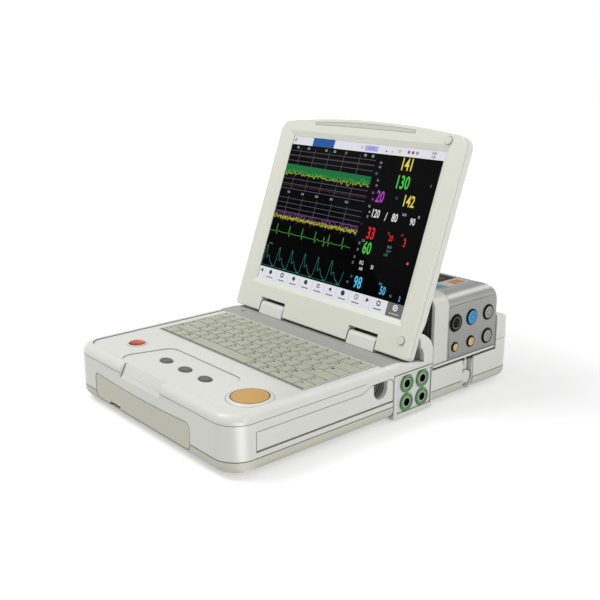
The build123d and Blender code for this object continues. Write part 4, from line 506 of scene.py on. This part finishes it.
for text, across, down, tone in (
    ("180", 0.64, 0.11, (150, 150, 160)), ("160", 0.64, 0.137, (150, 150, 160)),
    ("120", 0.63, 0.18, (70, 150, 110)), ("90", 0.65, 0.22, (150, 150, 160)),
    ("60", 0.65, 0.252, (150, 150, 160)), ("100", 0.64, 0.30, (150, 90, 160)),
    ("80", 0.65, 0.34, (150, 90, 160)), ("1:2", 0.64, 0.385, (190, 190, 200)),
    ("40", 0.65, 0.42, (170, 170, 180)), ("20", 0.645, 0.45, (170, 170, 180)),
    ("12:10", 0.86, 0.40, (200, 200, 210)), ("10", 0.945, 0.40, (200, 200, 210)),
    ("1:1", 0.79, 0.31, (130, 110, 200)), ("0.5", 0.80, 0.525, (190, 60, 60)),
    ("2.0", 0.88, 0.52, (190, 60, 60)), ("15", 0.90, 0.54, (190, 60, 60)),
    ("24.10", 0.825, 0.605, (120, 150, 150)), ("16.10", 0.825, 0.63, (90, 130, 140)),
    ("12.00", 0.815, 0.655, (60, 140, 110)), ("50", 0.64, 0.62, (140, 160, 140)),
    ("30", 0.64, 0.66, (140, 160, 140)), ("75", 0.632, 0.71, (150, 150, 150)),
    ("25", 0.632, 0.745, (150, 150, 150)), ("10", 0.645, 0.83, (90, 150, 170)),
    ("90", 0.63, 0.87, (90, 150, 170)), ("2:10", 0.83, 0.83, (110, 150, 170)),
    ("1:2", 0.905, 0.885, (110, 160, 180)), ("1", 0.965, 0.21, (180, 180, 190)),
    ("1:1", 0.62, 0.50, (110, 60, 70)), ("2:20", 0.66, 0.60, (150, 150, 160)),
):
    picture.numerals(text, across, down, 0.015, tone, 0.7)
picture.disc(0.952, 0.676, 1.6, (220, 70, 110), corners=12)

# The tool bar: pale keys between thin lines, each with a small sign and a mark below, and a dark last key.
picture.patch(0, 0.917, 1, 1, pale)
picture.patch(0.902, 0.917, 1, 1, (112, 112, 114), 2)
for edge in (0.045, 0.135, 0.225, 0.315, 0.405, 0.495, 0.575, 0.665, 0.755, 0.80):
    picture.ribbon([edge, edge], [0.922, 0.996], 0.4, (176, 176, 186), 2)
for across, corners, turn, hollow in (
    (0.022, 3, -pi / 2, 0.0), (0.09, 5, 0.4, 0.0), (0.18, 12, 0.0, 0.5), (0.27, 4, 0.0, 0.0),
    (0.36, 6, 0.3, 0.0), (0.45, 4, pi / 4, 0.5), (0.535, 3, 0.6, 0.0), (0.62, 12, 0.0, 0.0),
    (0.71, 16, 0.0, 0.7), (0.778, 3, pi / 2, 0.0), (0.85, 12, 0.0, 0.55),
):
    picture.disc(across, 0.944, 3.2, dark_mark, 4, corners, turn, hollow)
    if 0.05 < across < 0.77 or across > 0.8:
        picture.ribbon([across - 0.024, across + 0.024], [0.98, 0.98], 1.3, (112, 112, 122), 3)
picture.ribbon([0.71, 0.71, 0.717], [0.936, 0.946, 0.95], 0.5, dark_mark, 4)
picture.disc(0.951, 0.944, 3.6, (232, 232, 232), 4, 16, 0.0, 0.6)
picture.disc(0.951, 0.944, 1.2, (232, 232, 232), 4, 10)
picture.ribbon([0.922, 0.98], [0.98, 0.98], 1.0, (196, 196, 196), 3)

lit = Finish(bpy.data.materials.new("lit_picture"))
tint = lit.node("ShaderNodeAttribute", {"attribute_name": "tint"}, {}, "Color")
lit.principled(
    Base_Color=(0.0, 0.0, 0.0, 1.0), Emission_Color=tint, Emission_Strength=0.96, Roughness=0.4,
    Specular_IOR_Level=0.02,
)
screen_picture = tinted_piece("screen_picture", picture.shapes, picture.tints, lit.owner)
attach(screen_picture, "lid")

# Keyboard: grey-green caps in six rows, each row on its own spring, over a dark plate, with pad-printed marks
# in dark ink: plain digits along the number row, and short strokes elsewhere.
key_grey = moulded("key_grey", (184, 187, 168), 0.5, 0.00003, 0.94, 0.0003)
dark_plastic = moulded("dark_plastic", (52, 52, 52), 0.55, 0.00004, 0.85, 0.0003)
dress(key_grey, *(f"key_row_{row}" for row in range(1, 7)))
dress(dark_plastic, "keyboard_plate", "knob_sleeve", "paper_tray", "bay_tray", "loudspeaker", "battery")
ink = moulded("key_ink", (52, 54, 48), 0.6, fine_grain, 0.9)
keyboard_left, keyboard_width, keyboard_front, keyboard_depth, cap_top = -122.0, 253.0, -108.0, 97.0, 64.3
row_units = [
    [1.25, 1, 1.25, 6, 1.25, 1, 1.25, 1, 1], [2.25] + [1] * 10 + [1.75, 1], [1.75] + [1] * 11 + [2.25],
    [1.5] + [1] * 12 + [1.5], [1] * 13 + [2], [1] * 15,
]
pitch_x, pitch_y = keyboard_width / 15, keyboard_depth / 6
print_height = cap_top + 0.02
# On each cap the marks start at mark_inset from its left side. A digit's middle lies digit_across from there
# and digit_up from the row's middle. Elsewhere a tall stroke stands over a low one, which some caps lack.
mark_inset, digit_across, digit_up, digit_tall = 3.2, 2.2, 1.4, 4.6
upper_mark, lower_mark, low_stroke, left_out = 0.4, -3.8, 1.2, 0.35

for row, units in enumerate(row_units):
    ends = np.cumsum(units)
    starts = ends - np.array(units)
    y = keyboard_front + (row + 0.5) * pitch_y
    shapes = []
    for key, (start, end) in enumerate(zip(starts, ends)):
        left = keyboard_left + start * pitch_x + mark_inset
        if end - start > 3:
            continue
        if row == 4 and 1 <= key <= 10:
            flat, digit_faces = digits(str(key % 10), 0.02)
            middle = np.array([left + digit_across, y + digit_up, print_height])
            marks = [(flat * digit_tall / digit_height + middle, digit_faces)]
        else:
            long = chance.uniform(1.6, 3.0) if end - start < 1.2 else chance.uniform(3.5, 6.0)
            tall = chance.uniform(2.0, 3.4)
            marks = []
            for base, high in ((y + upper_mark, tall), (y + lower_mark, low_stroke)):
                if high == low_stroke and chance.uniform() < left_out:
                    continue
                x = np.array([left, left + long, left + long, left])
                up = np.array([base, base, base + high, base + high])
                marks.append((np.column_stack([x, up, np.full(4, print_height)]), [[0, 1, 2, 3]]))
        shapes += marks
    marks_piece = make_piece(f"key_marks_{row + 1}", *joined(shapes), ink)
    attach(marks_piece, f"keys_{row + 1}")

# Keyboard gap shade: a dark half-round bead along the keys' front edge, on the cover there, painted shade for
# the gap between the keys and the cover.
# Its section is half an ellipse that stands on the deck, swept along X and closed at both ends.
bead_half, bead_high, deck_top = 0.5, 1.0, 63.0
sweep = np.linspace(0, pi, 13)
bead_middle = keyboard_front - bead_half
section = np.stack([bead_middle + bead_half * np.cos(sweep), deck_top + bead_high * np.sin(sweep)], -1)
bead_ends = (keyboard_left, keyboard_left + keyboard_width)
bead_points = np.concatenate([np.column_stack([np.full(len(section), end), section]) for end in bead_ends])
step = np.arange(len(section))
after = np.roll(step, -1)
bead_faces = np.stack([step + len(section), step, after, after + len(section)], -1).tolist()
bead_faces += [step[::-1].tolist(), (step + len(section)).tolist()]
# The dark bead is painted shade, in the rubber's colour.
gap_shade_piece = make_piece("keyboard_gap_shade", bead_points, bead_faces, rubber)
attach(gap_shade_piece, "base")

# Deck controls: the orange-red power key, three dark oval keys, the flat orange jog disc and the indicator
# lenses. The keys are tinted acrylic over soft white, the ovals moulded in dark grey.
# The power key's colour goes darker toward the user, evenly over 17 mm with its middle at the key's middle.
power_finish = Finish(bpy.data.materials.new("power_orange"))
power_place = power_finish.place()
power_middle, darkening_per_metre = -0.1575, 60
back_share = (power_finish.axis(power_place, 1) - power_middle) * darkening_per_metre + 0.5
power_cloud = power_finish.noise(power_place, 900, 3.0)
clouded_share = back_share + power_cloud * 0.5 - 0.25
power_finish.principled(
    Base_Color=power_finish.mix(clouded_share, linear(150, 26, 10), linear(226, 104, 52)),
    Roughness=power_cloud * 0.1 + 0.3, Specular_IOR_Level=0.25, Normal=power_finish.rounded(0.0005),
)
jog_orange = moulded("jog_orange", (206, 158, 82), 0.42, 0.00002, 0.93)
dark_key = moulded("dark_key", (92, 94, 88), 0.42, 0.00002, 0.8, specular=0.3)
dark_lens = moulded("dark_lens", (66, 68, 62), 0.2, fine_grain, 0.9)
dress(power_finish.owner, "power_button")
dress(jog_orange, "jog_knob")
dress(dark_key, "left_button", "middle_button", "right_button")
dress(dark_lens, "indicator_lights")

# Side of the base: the white socket block with its pale panel, and green rings round four pale sleeves.
# Each sleeve holds a black lining with a six-sided contact block at its bottom, pressed in from outside.
panel_grey = moulded("panel_grey", (222, 220, 222), 0.42, 0.00002)
ring_green = moulded("ring_green", (78, 152, 62), 0.3, fine_grain, 0.9)
sleeve_grey = moulded("sleeve_grey", (176, 176, 178), 0.25, fine_grain, 0.9)
recess_grey = moulded("recess_grey", (140, 140, 134), 0.55, 0.00003, 0.9, 0.0003)
black_plastic = moulded("black_plastic", (14, 14, 15), 0.4, fine_grain, 0.8, specular=0.06)
dress(panel_grey, "connector_panel")
dress(ring_green, "probe_rings")
dress(sleeve_grey, "probe_sockets")
dress(recess_grey, "finger_recess")
dress(black_plastic, "mains_inlet")


def turned(profile, y, z, corners=40):
    """A solid turned about a line along X: every profile point, a distance along X and a radius, makes a
    ring, and flat discs close the first ring and the last. Faces look outward where the profile runs
    toward larger X, and toward the line where it runs back."""
    angle = np.linspace(0, 2 * pi, corners, endpoint=False)
    along, radius = np.array(profile, dtype=float).T
    rings = np.broadcast_arrays(
        along[:, None], y + radius[:, None] * np.cos(angle), z + radius[:, None] * np.sin(angle))
    numbers = np.arange(len(along) * corners).reshape(len(along), corners)
    after = np.roll(numbers, -1, axis=1)
    quads = np.stack([numbers[:-1], after[:-1], after[1:], numbers[1:]], -1).reshape(-1, 4)
    faces = quads.tolist() + [numbers[0][::-1].tolist(), numbers[-1].tolist()]
    return np.stack(rings, -1).reshape(-1, 3), faces


def turned_piece(name, shapes, material, body):
    """One piece from several turned solids, riding on a body."""
    piece = make_piece(name, *joined(shapes), material)
    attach(piece, body)


# The profiles of a lining and of its contact block; every sleeve has one of each.
cup = ((137.3, 4.46), (147.1, 4.46), (147.1, 4.3), (137.6, 4.3))
block = ((137.7, 2.3), (143.0, 2.1), (143.4, 1.8))
linings = [
    turned(profile, y, z, corners)
    for z in (18.5, 39.5) for y in (24.2, 48.6) for profile, corners in ((cup, 40), (block, 6))
]
turned_piece("probe_linings", linings, black_plastic, "base")

# Module: a die-cast housing sprayed in satin silver, behind a white trim, with a grey face for its sockets
# and dark louvres toward the user. It slides out to the right when the white latch is pressed down.
silver_finish = Finish(bpy.data.materials.new("silver_paint"))
spot = silver_finish.place()
flake = silver_finish.noise(spot, 5200, 1.0)
drift = silver_finish.noise(spot, 16, 3.0)
silver_finish.principled(
    Base_Color=silver_finish.mix(flake * 0.5 + drift * 0.5, linear(160, 160, 157), linear(130, 130, 128)),
    Metallic=0.75, Roughness=flake * 0.12 + 0.28,
    Normal=silver_finish.bump(flake, fine_grain, 0.5, silver_finish.rounded(0.0006)),
)
louvre_dark = moulded("louvre_dark", (84, 84, 80), 0.5, 0.00003, 0.85)
tab_white = moulded("tab_white", (224, 225, 216), 0.36)
trim_white = moulded("trim_white", (216, 217, 207), 0.32, edge=0.0008)
dress(silver_finish.owner, "module_housing", "module_face")
dress(louvre_dark, "louvre_panel")
dress(tab_white, "module_base", "release_tab")
dress(trim_white, "module_trim")

# Module sockets: round collars with a coloured front inside a black rim, on the module's right face.
# Each has an insert of its own colour pressed over its core, with small contact sleeves standing in it.


def socket_plastic(name, colour, inside, *collars):
    """Plastic that turns black on a collar's rim: where the squared distance from every collar's centre,
    each given as y, z and radius in millimetres, is over the square of the inside share of its radius."""
    finish = Finish(bpy.data.materials.new(name))
    place = finish.place()
    side_y, side_z = finish.axis(place, 1), finish.axis(place, 2)
    rim = 1.0
    for y, z, radius in collars:
        aside, above = side_y - y / 1000, side_z - z / 1000
        rim = (aside * aside + above * above > (inside * radius / 1000) ** 2) * rim
    pits = finish.noise(place, 2600)
    base = linear(*colour)
    finish.principled(
        Base_Color=finish.mix(rim, finish.mix(pits, base, darker(base, 0.88)), linear(11, 11, 12)),
        Roughness=pits * 0.12 + 0.34, Normal=finish.bump(pits, fine_grain, 0.6, finish.rounded(0.0003)),
        Specular_IOR_Level=0.05,
    )
    return finish.owner


def insert(y, z, radius, reach):
    """A cap over a socket's core: a short tube from 0.40 of the collar's radius to the share reach of it,
    with a flat front whose edge is broken. Its open end and its front are distances along X."""
    inner, outer = 0.40 * radius, reach * radius
    open_end, front_inside, front, edge = 141.2, 147.1, 147.9, 0.4
    profile = (
        (front_inside, inner), (open_end, inner), (open_end, outer), (front - edge, outer),
        (front, outer - edge),
    )
    return turned(profile, y, z)


def contacts(y, z, radius, number):
    """Contact sleeves: short pins with broken edges, on a circle at 0.32 of the collar's radius."""
    angle = np.linspace(0, 2 * pi, number, endpoint=False) + pi / 2
    circle = 0.32 * radius
    pin = ((147.8, 0.75), (147.98, 0.75), (148.0, 0.6))
    spots = zip(y + circle * np.cos(angle), z + circle * np.sin(angle))
    return [turned(pin, *spot, 12) for spot in spots]


# Each socket's place on the face and its collar's radius: y, z and radius in millimetres.
black_place, blue_place = (101.42, 90.4, 9.75), (128.895, 91.8, 9.0)
grey_places = [(158.725, 91.7, 9.0), (158.725, 63.5, 9.0)]
yellow_places = [(101.42, 62.6, 5.5), (128.895, 63.3, 6.5)]
for node, slot, colour, inside, reach, places in (
    ("black_socket", "black_plastic", (128, 129, 130), 0.70, 0.50, [black_place]),
    ("blue_socket", "socket_blue", (82, 166, 218), 0.84, 0.60, [blue_place]),
    ("grey_sockets", "socket_grey", (176, 177, 175), 0.76, 0.60, grey_places),
    ("yellow_sockets", "socket_yellow", (246, 218, 148), 0.72, 0.60, yellow_places),
):
    plastic = socket_plastic(node.replace("socket", "plastic"), colour, inside, *places)
    dress(plastic, node)
    filling = black_plastic if node == "black_socket" else plastic
    fronts = [insert(*place, reach) for place in places]
    turned_piece(node.replace("socket", "insert"), fronts, filling, "module")
pins = contacts(*black_place, 4) + contacts(*blue_place, 6)
pins += contacts(*grey_places[0], 6) + contacts(*grey_places[1], 5)
pins += contacts(*yellow_places[0], 3) + contacts(*yellow_places[1], 4)
turned_piece("socket_contacts", pins, black_plastic, "module")

# Label on the module's top: a thin printed film with plain blocks of colour, each a rectangle given as left,
# front, right and back in millimetres, its colour, and its layer over the film.
film_top, film_step = 126.06, 0.02
film_blocks = (
    (66, 93, 128.5, 148.5, (184, 184, 180), 0), (70, 117, 107, 147.5, (30, 26, 28), 1),
    (80, 129, 101, 137, (132, 46, 34), 2), (99, 94, 125, 107, (96, 166, 208), 1),
    (72, 95, 95, 112, (150, 192, 212), 1), (109, 112, 127.5, 147.5, (228, 224, 216), 1),
    (112, 124, 125, 143, (214, 160, 96), 2),
)
film_shapes, film_tints = [], []
for left, front, right, back, tone, layer in film_blocks:
    height = film_top + layer * film_step
    corners = [(left, front, height), (right, front, height), (right, back, height), (left, back, height)]
    film_shapes.append((corners, [[0, 1, 2, 3]]))
    film_tints.append(np.tile(linear(*tone), (4, 1)))
printed = Finish(bpy.data.materials.new("printed_film"))
wear = printed.noise(printed.place(), 60, 3.0)
print_tint = printed.node("ShaderNodeAttribute", {"attribute_name": "tint"}, {}, "Color")
printed.principled(
    Base_Color=printed.mix(wear * 0.06, print_tint, linear(200, 200, 196)), Roughness=wear * 0.1 + 0.5,
    Specular_IOR_Level=0.05,
)
label = tinted_piece("module_label", film_shapes, film_tints, printed.owner)
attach(label, "module")

# Inside and behind: the recorder's steel chassis and print bar, its brass pinion, the paper, the circuit
# boards, the supply's perforated case, and the ports and earth stud at the back.
circuit_board = moulded("circuit_board", (44, 104, 66), 0.4, 0.00003, 0.7, size=900)

# Chart paper: fan-folded, white, with a pale orange grid of five millimetres on the faces that look up. A
# line lies where the way across or along, folded back and forth every half square, is under half its width.
paper = Finish(bpy.data.materials.new("chart_paper"))
sheet_spot = paper.place()
half_square, half_line = 0.0025, 0.00018
lines = []
for axis in (0, 1):
    way = paper.axis(sheet_spot, axis)
    folded = paper.node("ShaderNodeMath", {"operation": "PINGPONG"}, {0: way, 1: half_square})
    lines.append(paper.node("ShaderNodeMath", {"operation": "LESS_THAN"}, {0: folded, 1: half_line}))
upward = paper.axis(paper.node("ShaderNodeNewGeometry", {}, {}, "True Normal"), 2)
fibre = paper.noise(sheet_spot, 1800, 3.0)
blank = paper.mix(fibre, linear(242, 242, 237), linear(232, 232, 226))
paper.principled(
    Base_Color=paper.mix((lines[0] + lines[1]) * upward, blank, linear(232, 176, 140)),
    Roughness=fibre * 0.1 + 0.75, Specular_IOR_Level=0.2,
    Normal=paper.node("ShaderNodeBump", {}, {"Height": fibre, "Distance": fine_grain, "Strength": 0.5}),
)
dress(circuit_board, "main_board", "button_board")
dress(paper.owner, "paper_pack")
dress(sheet_steel, "recorder_chassis", "power_supply", "data_ports")
dress(aluminium, "print_head")
dress(brass, "motor_pinion", "earth_stud")
